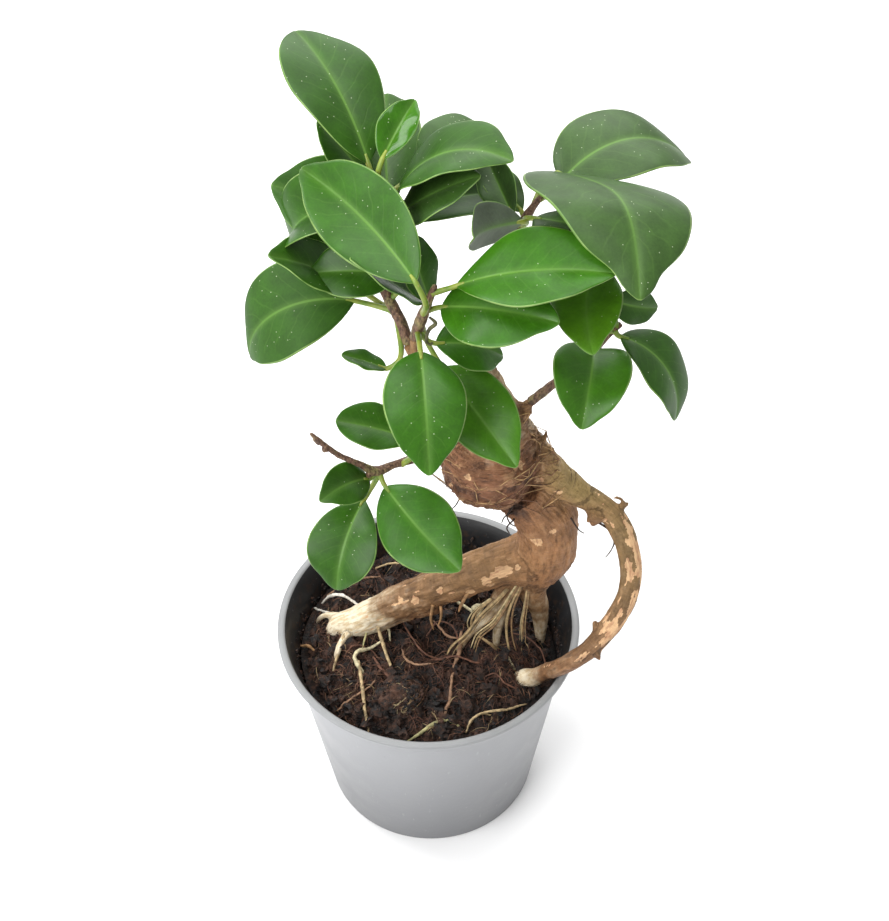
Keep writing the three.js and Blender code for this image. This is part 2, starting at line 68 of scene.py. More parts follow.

# A leaf. Start is where its stalk leaves the stem and base where the blade begins. Heading is the
# compass turn from +X, climb the rise from level, droop bends the midrib down, sweep bends it sideways,
# roll and twist turn it about its length, fold lifts its two halves, and a crest is where most of the
# droop lies. Belly is where along it the blade is widest, blunt how full its ends are (less is
# fuller), and nib how much it narrows before the tip. Age runs from pale young green under 0, over
# fresh green at 0 and dull olive at 1, to a failing leaf at 1.5; the pale young green is partly painted
# light, for light shining through a thin blade from behind. Shine makes it glossier, or duller under 0.
Leaf = namedtuple(
    "Leaf",
    "start base heading climb droop sweep roll length width fold age belly blunt nib crest twist shine",
    defaults=(0.47, 0.7, 0.15, None, 0, 0),
)

# A fine root or straw on the soil: x, y and lift over the soil at each point
Strand = namedtuple("Strand", "points radii tint")

ROOTS = [
    # left leg
    Limb(
        [(46, 5, 128), (30, 5, 122), (9, 6, 109), (-13, 7, 94), (-26, 7, 85), (-36, 8, 79), (-41, 8, 70)],
        [10.8, 8.8, 7.8, 7.4, 6.8, 5.2, 2.6],
        olive=(0.15, 0.45, 0.5, 0.3, 0),
        red=(0.4, 0.3, 0.4, 0.5, 0.2, 0, 0),
        pale=(0, 0, 0.05, 0.25, 1, 1, 1),
        scraped=(0, 0.2, 0.25, 0.3, 0.25, 0, 0),
        tone=(1.25, 1.03, 0.88, 0.85, 0.9, 1.05, 1.1),
    ),
    # upright root under the column
    Limb(
        [(44, 5, 122), (41, 5, 106), (44, 5, 94), (45, 5, 80), (45, 5, 68)],
        [9, 5.8, 4, 2.6, 1.6],
        red=(0.3, 0.2, 0),
        pale=(0.05, 0.2, 0.35, 0.5, 0.6),
    ),
    # arched root
    Limb(
        [
            (40, 6, 163), (50, 5, 164), (60, 2, 162), (69, -3, 158), (75, -10, 148), (76, -18, 135),
            (70, -25, 122), (61, -30, 112), (53, -30, 103), (46, -25.5, 92), (42, -22, 84),
            (38, -18.5, 78.5), (34, -16, 74),
        ],
        [7, 5.4, 4.6, 4.4, 4.4, 4.2, 4, 3.8, 3.5, 3.4, 3.5, 4, 3],
        olive=(0.9, 0.9, 0.8, 0.7, 0.6, 0.5, 0.4, 0.3, 0.2, 0),
        red=(0, 0, 0.1, 0.2, 0.3, 0.5, 0.6, 0.5, 0.3, 0),
        pale=(0, 0, 0, 0, 0.05, 0.1, 0.1, 0.1, 0.1, 0.1, 0.7, 1, 1),
        scraped=(0, 0, 0, 0.4, 0.78, 0.86, 0.74, 0.6, 0.45, 0.3, 0.1, 0, 0),
        tone=(1.1, 1.1, 1.05, 0.9, 0.8, 0.8, 0.75, 0.75, 0.75, 0.8, 0.9, 0.9, 0.9),
    ),
    # two pale flattened roots in the middle
    Limb(
        [(36, 3, 116), (31, 0, 105), (28, -2, 95), (27, -2, 84), (27, -2, 74)],
        [3.2, 2.8, 2.2, 1.8, 1.3],
        red=(0.4, 0.1, 0),
        pale=(0.2, 0.45, 0.6, 0.55, 0.4),
    ),
    Limb(
        [(32, 3, 113), (26, 0, 104), (23, -2, 97), (16, -4, 89), (12, -5, 80), (11, -5, 73)],
        [3, 2.4, 2.1, 1.8, 1.5, 1.1],
        red=(0.4, 0.1, 0),
        pale=(0.2, 0.4, 0.55, 0.5, 0.4),
    ),
    # thin roots at the end of the leg
    Limb(
        [(-30, 5, 83), (-35, -2, 82), (-37, -8, 80), (-38, -12, 72)],
        [2, 1.5, 1.3, 1],
        pale=(1, 0.8, 0.5),
    ),
    Limb(
        [(-31, 9, 83), (-37, 11, 83), (-43, 13, 80), (-47, 14, 72)],
        [2, 1.4, 1.2, 1],
        pale=(1, 0.9, 0.7),
    ),
]

WOOD = [
    # swollen rootstock, drawn in to the neck
    Limb(
        [
            (33, 5, 162), (29, 5, 169), (25, 5, 178), (24, 5, 188), (25, 5, 198), (23, 5, 209),
            (22, 5, 219), (21, 5, 228), (20, 5, 235),
        ],
        [6, 13, 18.5, 18.5, 13, 8, 5.8, 4.2, 3],
        olive=(0, 0, 0, 0, 0.3, 0.5, 0.5),
        red=(0.8, 1, 1, 0.7, 0.15, 0.1, 0.1, 0),
        pale=(0, 0, 0, 0.2, 0.6, 0.6, 0.4, 0),
        grain=1,
        wrap=0.3,
        tone=(0.88, 0.86, 0.88, 1.2, 1.4, 1.35, 1.2),
    ),
    # ridge from the neck down to the arched root
    Limb(
        [
            (21, 5, 228), (25, 5, 213), (31, 6, 198), (37, 6, 185), (45, 5, 174), (54, 4, 165.5),
            (62, 1, 161.5),
        ],
        [4, 6, 7, 7.6, 7.4, 5.8, 3.6],
        olive=(0.2, 0.2, 0.3, 0.7, 1, 1, 0.9),
        red=(0.1, 0.2, 0.2, 0.1, 0, 0),
        pale=(0.3, 0.6, 0.75, 0.45, 0.05, 0, 0),
        tone=(1.3, 1.5, 1.55, 1.4, 1.25),
    ),
    # column
    Limb(
        [(36, 5, 166), (44, 5, 152), (46, 5, 140), (45, 5, 126), (43, 5, 116)],
        [11, 12, 11.6, 11.5, 8.5],
        olive=(0.2, 0.1, 0.1, 0.2),
        red=(0.7, 0.45, 0.4, 0.4, 0.35),
        tone=(1.05, 1.3, 1.35, 1.3, 1.1),
    ),
    # stem from the left shoulder to the fork
    Limb(
        [(18, 3, 190), (9, 0, 204), (3, -3, 222), (-1, -4, 238), (-4, -5, 248)],
        [6, 3.6, 2.6, 2.3, 2.1],
        olive=(0.1, 0, 0),
        red=(0.6, 0.4, 0.2),
    ),
    # stubs that carry the leafy stems
    Limb([(-1, -5, 240), (-2, -8, 249), (-2, -9, 255)], [2, 1.9, 1.8]),
    Limb([(20, 5, 228), (21, 6, 236), (22, 8, 242)], [3, 2.2, 1.9]),
    Limb([(26, 5, 196), (33, 6, 203), (38, 6, 209)], [4, 2, 1.8]),
    Limb([(14, 4, 183), (3, 3, 184), (-3, 2, 184.5)], [4, 2.4, 2]),
]

# Small growths that break the outline of the wood: hooks, knots and the stubs of lost roots
GROWTHS = [
    Limb([(70, -2, 159), (72.6, -1.5, 161.5), (72.6, -1.5, 164.5), (70.6, -1.5, 166), (69, -1.5, 165.6)],
         [2.2, 1.1, 0.8, 0.8, 0.6]),
    Limb([(71, -1.5, 160), (74.4, -1, 161.4), (75, -1, 163)], [1.6, 0.8, 0.6]),
    Limb([(45, 3.5, 178), (47.5, 3.5, 181), (48, 3.2, 183)], [3, 2, 1.1], red=(0.6,)),
    Limb([(44, 5, 182), (46.4, 5, 184), (45.8, 4, 186.6)], [2.6, 1.3, 0.8], red=(0.6,)),
    Limb([(41, 5, 188), (43.6, 6, 190.6), (43.8, 6, 195)], [2.4, 1, 0.35]),
    Limb([(64, -3, 160), (63.4, -5, 157.4), (61, -6, 155.6)], [3, 1.7, 0.9], red=(0.5,)),
    Limb([(62, -2, 159), (60.6, -5, 159), (59.4, -6, 157.4)], [2.4, 1.3, 0.7], red=(0.6,)),
    Limb([(62, -1, 159), (62, -5.6, 160), (65, -6.6, 159.6)], [3, 1.8, 1], red=(0.4,)),
    Limb([(64.5, -27, 118), (63.2, -25.4, 120.6), (62.8, -25, 122.6)], [2, 1.3, 1], red=(0.5,)),
    Limb([(63.4, -31.6, 113), (64.4, -33.8, 111.4), (64.6, -34.6, 110.6)], [2, 1.1, 0.7], red=(0.4,)),
    Limb([(34, 4, 202), (37, 5, 205), (38.5, 5, 206)], [3, 1.8, 1]),
    Limb([(4, 1, 99), (-2, 2, 96), (-7, 3, 92)], [2.4, 2.6, 1.4], red=(0.6,), pale=(0.1, 0.3)),
]

# Scraped or healed places in the bark: x, y, z and radius
SCARS = [
    (75.5, -8, 156, 2), (78.4, -11, 149, 2.8), (78.8, -13.5, 146, 3), (78.4, -17, 142, 2.4),
    (66, -31, 119, 1.4), (25, -2.4, 122.6, 1.6), (35, -2.6, 128.4, 1.4), (30, -2.4, 123.6, 1.4),
    (-11, 3, 103, 1.2), (0, 0.6, 107.4, 0.8),
    (48.7, -1.9, 169.4, 1.5), (47.2, -6.2, 152.5, 1.3), (41.4, -5.6, 146.9, 2.8), (34, -7, 190.5, 2),
    (41.6, -1.6, 176.2, 1.8), (66, -6.5, 158.7, 1.2), (68.7, -8, 157.5, 1.3), (28, -2.2, 124.8, 3),
    (31, -2.6, 126.6, 2.2), (22.6, -2.2, 120.2, 2.4), (16.5, -2.2, 112.9, 2), (4.8, 0, 111.5, 1.6),
    (-5, 0.7, 104.8, 2), (15.5, -11, 188, 1.4), (28.7, -12.2, 185.5, 1.2), (9, -5, 178, 1.2),
]

CROWN_STEM = [
    Limb(
        [(-4.2, -4.8, 249), (-7, -2, 257), (-12, 4, 266), (-14, 9, 282), (-13, 13, 303)],
        [2, 1.9, 1.8, 1.6, 0.8],
    ),
]
CROWN_LEAVES = [
    Leaf(
        (-13, 12, 298), (-16, 20, 305), 115, 50, 50, 5, -15, 55, 34, 5, 0.45,
        belly=0.55, blunt=0.62, nib=0.05,
    ),
    Leaf((-13, 13, 301), (-11, 13, 312), 55, 40, 30, 0, -15, 23, 14, 25, 0.1, shine=1),
    Leaf((-14, 10, 284), (-10, 25, 288), 95, 25, 25, 0, 15, 44, 27, 10, 0.65),
    Leaf((-14, 10, 288), (-16, 27, 292), 145, 40, 5, 0, 5, 26, 16, 5, 0.5),
    Leaf((-14, 9, 279), (-16, 28, 277), 175, 20, 10, 0, 35, 35, 31, 5, 0.3),
    Leaf((-14, 9, 282), (-10, 14, 286), 190, 45, 145, -10, 25, 49, 30, 25, 0.35, belly=0.55),
    Leaf((-8, -1, 258), (-20, 8, 261), 190, 45, 10, -15, 5, 39, 25, 10, 0.4),
    Leaf((-9, 0, 259), (-22, 4, 260), 185, 20, 105, -30, 25, 54, 36, 0, 0.5, shine=-0.9),
    Leaf((-10, 2, 262), (-7, 0, 275), 190, 20, 55, 0, 35, 31, 20, 10, 0.4),
    Leaf((-8, -1, 259), (-12, -8, 240), 175, 25, 5, -5, -5, 16, 10, 10, 0.2, blunt=0.55, nib=0.05),
    Leaf((-14, 11, 290), (-7, 14, 297), 15, 65, 70, 35, 25, 50, 30, 5, 0.5),
    Leaf((-14, 9, 284), (-7, 10, 291), -20, 50, 20, 5, -15, 37, 24, 5, 0.75),
    Leaf((-14, 8, 278), (-5, 20, 280), 30, 20, 65, 10, -15, 46, 27, 20, 0.6, belly=0.55),
    Leaf((-13, 12, 296), (1, 26, 299), 45, 30, 70, 0, 0, 35, 21, 10, 0.65),
]
FRONT_STEM = [
    Limb([(-2, -9.1, 255.4), (0, -11, 264), (2, -13, 272), (5, -14, 282)], [1.8, 2.1, 1.6, 0.9]),
]
FRONT_LEAVES = [
    Leaf((1, -12, 268), (-1, -20, 289), 125, 23, 15, -20, 30, 59, 30, 20, 0.22),
    Leaf((2, -13, 274), (3, -9, 271), 135, 65, -5, 0, -5, 26, 16, 10, 0.4),
    Leaf((4, -14, 279), (12, -15, 283), -15, 34, 36, 5, -15, 53, 32, 10, 0, belly=0.52, blunt=0.8),
    Leaf((1, -12, 269), (7, -14, 273), -35, 30, 30, 5, -30, 44, 28, 5, 0.05),
    Leaf((-1, -10, 260), (5, -14, 257), 10, -5, 45, 5, -20, 27, 21, 5, 0.15),
    Leaf((-1, -10, 259), (0, -22, 261), -85, -10, 40, -5, 10, 42, 28, 0, 0.15, belly=0.43),
    Leaf((0, -11, 264), (7, -10, 242), -60, -5, 25, -5, -10, 44, 26, 15, -0.15),
    Leaf((1, -12, 268), (1, -8, 270), 190, 45, 0, -5, -5, 33, 21, 10, 0.3),
]
# The curled dry tendril: its points and its radii
TENDRIL = (
    [
        (3, -11, 266), (5, -13, 265), (3, -13.5, 263), (2, -14, 260), (2, -14.5, 258),
        (3.2, -15, 257.4), (3.8, -15, 258.4),
    ],
    [0.4, 0.7, 0.7, 0.6, 0.5, 0.4, 0.3],
)
BACK_STEM = [
    Limb(
        [(22.1, 8.2, 242.4), (26, 13, 254), (31, 19, 268), (35, 22, 279), (41, 26, 286)],
        [1.9, 1.8, 1.7, 1.6, 0.9],
    ),
]
BACK_LEAVES = [
    Leaf(
        (37, 23, 281), (46, 35, 288), -55, 28, 64, 15, 28, 80, 54, -4, 0.8,
        belly=0.41, nib=0.3, crest=0.58, twist=-10,
    ),
    Leaf(
        (40, 25, 285), (48, 38, 282), 40, 35, 90, 25, 0, 60, 37, 0, 0.85,
        belly=0.45, blunt=0.6, nib=0.05,
    ),
    Leaf((34, 21, 276), (31, 22, 281), 120, 35, 10, 0, 40, 24, 15, 25, 1.05),
    Leaf((34, 21, 276), (34, 25, 280), 135, 30, 10, 0, 10, 22, 13, 15, 1.1),
    Leaf((34, 21, 277), (34, 16, 283), 200, 10, 60, -5, -110, 29, 18, 25, 1.5),
    Leaf((35, 22, 279), (38, 14, 286), -45, 25, 5, 5, 0, 31, 19, 5, 0.6),
]
RIGHT_STEM = [
    Limb(
        [(38.3, 6, 209.3), (46, 6, 218), (56, 6, 229), (63, 7, 239), (68, 8, 244)],
        [1.8, 1.6, 1.5, 1.4, 0.8],
    ),
]
RIGHT_LEAVES = [
    Leaf((58, 6, 232), (59, 4, 236), -95, 25, 80, 5, 5, 34, 29, 20, -0.1, belly=0.42),
    # Its low age is partly painted light, for light that shines through the blade from behind
    Leaf((65, 7, 241), (58, 8, 272), -110, 2, 15, -30, 0, 41, 24, 5, -0.3, belly=0.45),
    Leaf((67, 8, 243), (64, 8, 255), -5, -20, 40, -10, -55, 20, 13, 5, 0.5),
    Leaf((66, 7, 242), (68, 6, 240), -15, -5, 85, 30, 0, 40, 26, 0, 0.4),
]
LEFT_STEM = [
    Limb(
        [
            (-3.9, 2, 184.5), (-11, -2, 186), (-17, -6, 187), (-23, -8, 193), (-30, -9, 199),
            (-37, -10, 208), (-39, -10, 211),
        ],
        [1.7, 1.4, 1.9, 1.1, 1.05, 1, 0.5],
    ),
    Limb([(-17, -6, 187), (-19.5, -7.5, 187.6), (-20, -8, 186)], [1.7, 1.5, 0.8]),
    Limb([(-33, -9.5, 202.5), (-34.5, -10.5, 203.6), (-34.4, -11, 204.6)], [1, 1.3, 0.7]),
    Limb([(-36, -10, 206), (-37.6, -9, 207), (-38.2, -8.6, 208.6)], [1, 1, 0.5]),
]
LEFT_LEAVES = [
    Leaf(
        (-8, -1, 185), (-4, -6, 203), 175, 25, 15, -5, 15, 28, 19, 10, 0.25,
        belly=0.55, blunt=0.55, nib=0.05,
    ),
    Leaf((-17, -6, 187), (-20, -8, 185), 225, 40, 45, -25, 35, 24, 16, 10, 0.4),
    Leaf((-16, -6, 186), (-22, -10, 176), -115, 0, 70, -5, 0, 36, 27, 10, 0.35, belly=0.55),
    Leaf((-16, -6, 186), (-14, -10, 183), -60, -5, 5, -10, -25, 45, 28, 0, 0.05, belly=0.48),
]

# Tints of the fine roots
STRAW = "#b8a078"
YELLOW = "#cbbf9a"
WHITE = "#d8d2c6"
RUST = "#6d4836"
TAN = "#977459"
MOSS = "#a9a272"
AMBER = "#ab8258"

STRANDS = [
    Strand([(-18, -4, 5), (-24, -6, 4.5), (-28, -8, 4), (-29.5, -10, 3.5), (-28, -14, 2.5), (-26, -17, 1)],
           [0.5, 0.9, 1, 1.1, 1.2, 0.6], YELLOW),
    Strand([(-28, -12, 3), (-27, -18, 2.5), (-26, -26, 2.5), (-25, -34, 2), (-23.5, -43, 1)],
           [0.6, 0.8, 0.9, 0.9, 0.7], STRAW),
    Strand(
        [(13, 0, 4), (12, -9, 3), (10, -14, 1.5), (9, -22, 2.5), (8, -30, 1.8), (6, -37, 2), (4, -46, 1)],
        [0.6, 1.2, 0.8, 0.7, 0.9, 0.7, 0.5],
        TAN,
    ),
    Strand([(15, -41, 1), (18, -38, 3), (22, -36, 3), (28, -35, 2.5), (32, -33, 2), (38, -30, 1)],
           [0.4, 0.6, 0.7, 0.7, 0.6, 0.4], STRAW),
    Strand([(-10, -48, 1), (-4, -45, 2), (2, -41, 2.5), (8, -40, 2), (13, -42, 0.5)],
           [0.4, 0.8, 0.9, 0.7, 0.4], MOSS),
    Strand([(14, -43, 0.5), (16, -40, 3), (20, -37, 3.5), (24, -36, 1)], [0.4, 0.6, 0.6, 0.4], STRAW),
    Strand(
        [(-44, 22, 1), (-41, 23, 3), (-37, 22, 4), (-33, 20, 4), (-28, 17, 3)],
        [0.5, 0.8, 0.8, 0.7, 0.6],
        WHITE,
    ),
    Strand([(-47, 20, 1), (-44, 17, 2), (-40, 14, 2.5), (-36, 11, 3)], [0.5, 0.6, 0.6, 0.5], WHITE),
    Strand([(-52, 1, 1), (-49, 0, 1.5), (-46, -3, 1)], [0.5, 0.9, 0.5], AMBER),
    Strand([(-18, 7, 14), (-17.5, 3, 9), (-16, 1, 6), (-15.5, -2, 2)], [0.5, 0.6, 0.6, 0.4], YELLOW),
    Strand([(-21, 5, 12), (-20, 0, 8), (-17, -9, 3), (-14, -17, 1)], [0.6, 1, 0.9, 0.6], STRAW),
    Strand([(-23, 4, 10), (-25, 0, 5), (-27, -6, 2)], [0.4, 0.5, 0.4], MOSS),
    Strand([(-31, 5, 4), (-34, 0, 3), (-36, -5, 2.5), (-38, -14, 1)], [1.2, 1.1, 1, 0.6], STRAW),
    Strand([(-36, -32, 0.5), (-33, -30, 2), (-28, -27, 2.5), (-23, -23, 2.5), (-20, -19, 1)],
           [0.4, 0.6, 0.5, 0.5, 0.4], TAN),
    Strand([(-22, -9, 2), (-20, -14, 2.5), (-16, -19, 2), (-12, -22, 1)], [0.6, 0.9, 0.8, 0.5], RUST),
    Strand([(-11, -5, 1), (-9, -11, 2.5), (-5, -14, 3), (1, -15, 2)], [0.4, 0.6, 0.6, 0.4], TAN),
    Strand([(0, 9, 2), (4, 4, 3), (8, -1, 3.5), (13, -2, 3)], [0.4, 0.5, 0.6, 0.4], TAN),
    Strand([(9, 21, 2), (12, 16, 4), (15, 13, 5), (18, 10, 6)], [0.4, 0.7, 0.8, 0.8], YELLOW),
    Strand([(18, 10, 8), (21, 9, 10), (18, 4, 4), (15, -2, 2)], [1.6, 1.3, 1.2, 0.7], YELLOW),
    Strand(
        [(1, -12, 1), (6, -11, 2), (11, -11, 3), (19, -13, 3), (25, -10, 1)],
        [0.4, 0.5, 0.6, 0.5, 0.4],
        RUST,
    ),
    Strand([(-42, 26, 1), (-36, 29, 3), (-28, 30, 4), (-20, 32, 2)], [0.4, 0.6, 0.6, 0.4], TAN),
    Strand([(-22, 40, 1), (-14, 39, 3), (-6, 37, 2)], [0.4, 0.6, 0.4], STRAW),
    Strand([(30, 20, 1), (36, 26, 3), (40, 22, 3), (43, 14, 1)], [0.4, 0.5, 0.5, 0.3], TAN),
    Strand([(29, -8, 3), (32, -12, 3), (34, -15, 1)], [0.8, 0.7, 0.4], YELLOW),
    Strand(
        [(-13, 14, 3), (-10, 5, 5), (-7, -3, 5), (-2, -10, 4), (4, -11, 2), (9, -9, 1)],
        [0.4, 0.5, 0.5, 0.5, 0.4, 0.3],
        RUST,
    ),
    Strand([(-1, 0, 3), (4, 5, 5), (10, 2, 5), (12, -6, 3), (11, -11, 1)], [0.4, 0.4, 0.5, 0.4, 0.3], RUST),
    Strand([(-34, -8, 1), (-30, -4, 3), (-24, -5, 3), (-19, -10, 1)], [0.3, 0.4, 0.4, 0.3], RUST),
    Strand([(33, 2, 3), (39, -1, 5), (45, -6, 4), (47, -12, 1)], [0.3, 0.4, 0.4, 0.3], RUST),
    Strand([(20, -20, 1), (26, -19, 3), (30, -23, 3), (36, -24, 1)], [0.3, 0.4, 0.4, 0.3], RUST),
]


def linear(code):
    """Turns an sRGB hex colour into linear red, green, blue and alpha."""
    shares = [int(code[i:i + 2], 16) / 255 for i in (1, 3, 5)]
    return tuple(c / 12.92 if c <= 0.04045 else ((c + 0.055) / 1.055) ** 2.4 for c in shares) + (1.0,)


def length(name, description, size):
    """A length setting, given in millimetres."""
    return FloatProperty(name=name, description=description, default=size * MM, unit="LENGTH", precision=5)


def colour(name, description, code):
    """A colour setting, given as sRGB hex."""
    base = linear(code)
    return FloatVectorProperty(name=name, description=description, default=base, size=4, subtype="COLOR")


def angle(name, description, degrees):
    """An angle setting, given in degrees."""
    turn = math.radians(degrees)
    return FloatProperty(name=name, description=description, default=turn, subtype="ANGLE")


class PotSettings(bpy.types.PropertyGroup):
    height: length("Height", "Height of the pot", 92)
    lip_radius: length("Lip radius", "Outside radius of the lip", 60)
    lip_width: length("Lip width", "Width of the flat lip", 2.6)
    wall_top_radius: length("Wall radius", "Outside radius of the wall under the collar", 54.5)
    collar_height: length("Collar", "Height of the flared collar under the lip", 12)
    foot_radius: length("Foot radius", "Radius of the foot", 43)
    wall: length("Wall thickness", "Thickness of the wall", 1.3)
    drain_radius: length("Drain radius", "Radius of each drain hole", 3.5)
    drains: IntProperty(name="Drains", description="Number of drain holes", default=8)
    outside: colour("Outside", "Colour of the grey plastic", "#8a8b8e")
    inside: colour("Inside", "Colour of the black inner skin", "#17181a")


class SoilSettings(bpy.types.PropertyGroup):
    top: length("Level", "Height of the soil's surface", 78)
    crumbs: IntProperty(name="Crumbs", description="Number of loose crumbs", default=3200)
    fibres: IntProperty(name="Fibres", description="Number of fine fibres", default=2600)
    peat: colour("Peat", "Colour of dry peat", "#52382b")
    wet_and_shade: colour("Wet peat", "Colour of peat in the hollows", "#0d0908")


class BarkSettings(bpy.types.PropertyGroup):
    voxel: length("Grid", "Size of the remeshing grid", 0.7)
    relief: length("Relief", "Depth of the bark's relief", 0.9)
    brown: colour("Brown", "Colour of the young bark", "#83613d")
    olive: colour("Olive", "Colour of the greenish bark", "#877245")
    red: colour("Red brown", "Colour of the fibrous rootstock", "#835538")
    pale: colour("Pale", "Colour of the buried root ends", "#e6dabf")
    scar: colour("Scar", "Colour of the scraped wood", "#e2b98b")
    crack_and_shade: colour("Crack", "Colour in the cracks", "#2b1a12")


class LeafSettings(bpy.types.PropertyGroup):
    thickness: length("Thickness", "Thickness of the blades", 0.6)
    # The young green is partly painted light, for light that shines through a thin blade from behind
    young: colour("Young", "Upper face of a thin pale leaf", "#5c8f1c")
    fresh: colour("Fresh", "Upper face of a young leaf", "#30610a")
    deep: colour("Grown", "Upper face of a grown leaf", "#294f0b")
    old: colour("Old", "Upper face of an old leaf", "#365222")
    dusk: colour("Dusky", "Face of a failing leaf", "#525d4c")
    under: colour("Underside", "Lower face of a leaf", "#4d6338")
    vein: colour("Vein", "Midrib and side veins", "#6a9440")
    margin: colour("Margin", "Thin edge of a leaf", "#7b994e")
    stalk: colour("Stalk", "Leaf stalks", "#8b963a")
    twig: colour("Twig", "Leafy stems", "#6e5040")


class StageSettings(bpy.types.PropertyGroup):
    floor: colour("Floor", "Colour of the floor", "#f4f4f4")
    distance: length("Distance", "Distance from the camera to its aim", 814)
    elevation: angle("Elevation", "Angle of the view over the horizon", 47)
    roll: angle("Roll", "Turn of the camera about its view", -0.8)
    lens: FloatProperty(name="Lens", description="Focal length", default=73.5, subtype="DISTANCE_CAMERA")


# Modelling


def deselect():
    """Leaves nothing selected."""
    if bpy.context.object and bpy.context.object.mode != "OBJECT":
        bpy.ops.object.mode_set(mode="OBJECT")
    bpy.ops.object.select_all(action="DESELECT")


def named(name):
    """Names the active object and its mesh."""
    piece = bpy.context.object
    piece.name = name
    piece.data.name = name
    return piece


def join(name, parts):
    """Joins objects into the first of them."""
    deselect()
    for part in parts:
        part.select_set(True)
    bpy.context.view_layer.objects.active = parts[0]
    if len(parts) > 1:
        bpy.ops.object.join()
    return named(name)


def modify(piece, kind, **settings):
    """Adds a modifier with its settings and applies it."""
    deselect()
    piece.select_set(True)
    bpy.context.view_layer.objects.active = piece
    modifier = piece.modifiers.new(kind.lower(), kind)
    for name, value in settings.items():
        setattr(modifier, name, value)
    bpy.ops.object.modifier_apply(modifier=modifier.name)


def hand_over(piece, slot, *nodes):
    """Gives a finished piece to the root body and hides the CAD nodes it stands for. The slot is not used.
    """
    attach(piece, "root")
    if nodes:
        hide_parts(*nodes)


def smoothstep(low, high, value):
    """0 below low, 1 above high, and an even bend between them."""
    share = np.clip((value - low) / (high - low), 0, 1)
    return share * share * (3 - 2 * share)


def along(values, share):
    """The value between the listed ones, at a share from 0 to 1 of the way along them."""
    if len(values) == 1:
        return values[0]
    place = share * (len(values) - 1)
    index = min(int(place), len(values) - 2)
    return values[index] + (values[index + 1] - values[index]) * (place - index)


def route(points, steps):
    """Places along a smooth curve through the points, each with its share of the way."""
    knots = [Vector(point) for point in points]
    knots = [2 * knots[0] - knots[1]] + knots + [2 * knots[-1] - knots[-2]]
    spans = len(points) - 1
    path = []
    for i in range(spans):
        a, b, c, d = knots[i:i + 4]
        before, here, after = ((q - p).length ** 0.5 for p, q in ((a, b), (b, c), (c, d)))
        leave = ((b - a) / before - (c - a) / (before + here) + (c - b) / here) * here
        arrive = ((c - b) / here - (d - b) / (here + after) + (d - c) / after) * here
        for k in range(steps + (i == spans - 1)):
            t = k / steps
            place = (
                b * (2 * t**3 - 3 * t**2 + 1) + leave * (t**3 - 2 * t**2 + t)
                + c * (3 * t**2 - 2 * t**3) + arrive * (t**3 - t**2)
            )
            path.append((place, (i + t) / spans))
    return path


def tubes(name, rods, roundness, steps=6):
    """Rods bent along smooth curves, as one mesh. Each rod is its points and its radii along them."""
    deselect()
    bpy.ops.curve.primitive_nurbs_path_add()
    curve = bpy.context.object.data
    curve.splines.clear()
    curve.dimensions = "3D"
    curve.twist_mode = "MINIMUM"
    curve.bevel_depth = 1
    curve.bevel_resolution = roundness
    curve.use_fill_caps = True
    for points, radii in rods:
        path = route(points, steps)
        spline = curve.splines.new("POLY")
        spline.points.add(len(path) - 1)
        for corner, (place, share) in zip(spline.points, path):
            corner.co = (*(place * MM), 1)
            corner.radius = along(radii, share) * MM
    bpy.ops.object.convert(target="MESH")
    # The end caps come loose from the walls, and are joined to them
    bpy.ops.object.mode_set(mode="EDIT")
    bpy.ops.mesh.select_all(action="SELECT")
    bpy.ops.mesh.remove_doubles(threshold=0.001 * MM)
    bpy.ops.object.mode_set(mode="OBJECT")
    bpy.ops.object.shade_smooth()
    return named(name)


def paint(piece, name, values):
    """Stores one number a vertex for the material to read."""
    attribute = piece.data.attributes.new(name, "FLOAT", "POINT")
    attribute.data.foreach_set("value", np.full(len(piece.data.vertices), values, float))


def tint(piece, code):
    """Stores one colour for the whole piece, for the material to read."""
    attribute = piece.data.attributes.new("tint", "FLOAT_COLOR", "POINT")
    attribute.data.foreach_set("color", np.tile(linear(code), len(piece.data.vertices)))


def tinted_tubes(name, rods, roundness, steps, code):
    """Tubes of one tint."""
    part = tubes(name, rods, roundness, steps)
    tint(part, code)
    return part


def corners_of(piece):
    """The vertices' places and normals in millimetres, as arrays."""
    mesh = piece.data
    places = np.empty(len(mesh.vertices) * 3)
    mesh.vertices.foreach_get("co", places)
    normals = np.empty(len(mesh.vertices) * 3)
    mesh.vertex_normals.foreach_get("vector", normals)
    return places.reshape(-1, 3) / MM, normals.reshape(-1, 3)


def set_corners(piece, places):
    """Moves the vertices to places in millimetres."""
    piece.data.vertices.foreach_set("co", (places * MM).ravel())
    piece.data.update()


def soften(piece, values, rounds):
    """Evens values out between neighbouring vertices."""
    ends = np.empty(2 * len(piece.data.edges), np.int32)
    piece.data.edges.foreach_get("vertices", ends)
    near, far = ends[::2], ends[1::2]
    number = np.maximum(np.bincount(ends, minlength=len(values)), 1)
    for _ in range(rounds):
        total = np.bincount(near, values[far], len(values)) + np.bincount(far, values[near], len(values))
        values = 0.5 * values + 0.5 * total / number
    return values


def rough(places, size, octaves=3):
    """Smooth random relief from -1 to 1 with lumps of the given size in millimetres."""
    return np.array([noise.fractal(Vector(p) / size, 1.0, 2.0, octaves) for p in places.tolist()])


# Materials

# What most nodes of these kinds share
USUAL = {"MapRange": {"interpolation_type": "SMOOTHSTEP"}, "Mix": {"data_type": "RGBA"}}


def add(tree, kind, inputs=(), output=0, **settings):
    """Adds a shader node with its settings, sets or links its inputs, and returns one of its outputs, or
    the node itself where output is None."""
    node = tree.nodes.new("ShaderNode" + kind)
    for name, value in {**USUAL.get(kind, {}), **settings}.items():
        setattr(node, name, value)
    for name, value in inputs.items() if isinstance(inputs, dict) else enumerate(inputs):
        if isinstance(value, bpy.types.NodeSocket):
            tree.links.new(value, node.inputs[name])
        else:
            node.inputs[name].default_value = value
    return node if output is None else node.outputs[output]


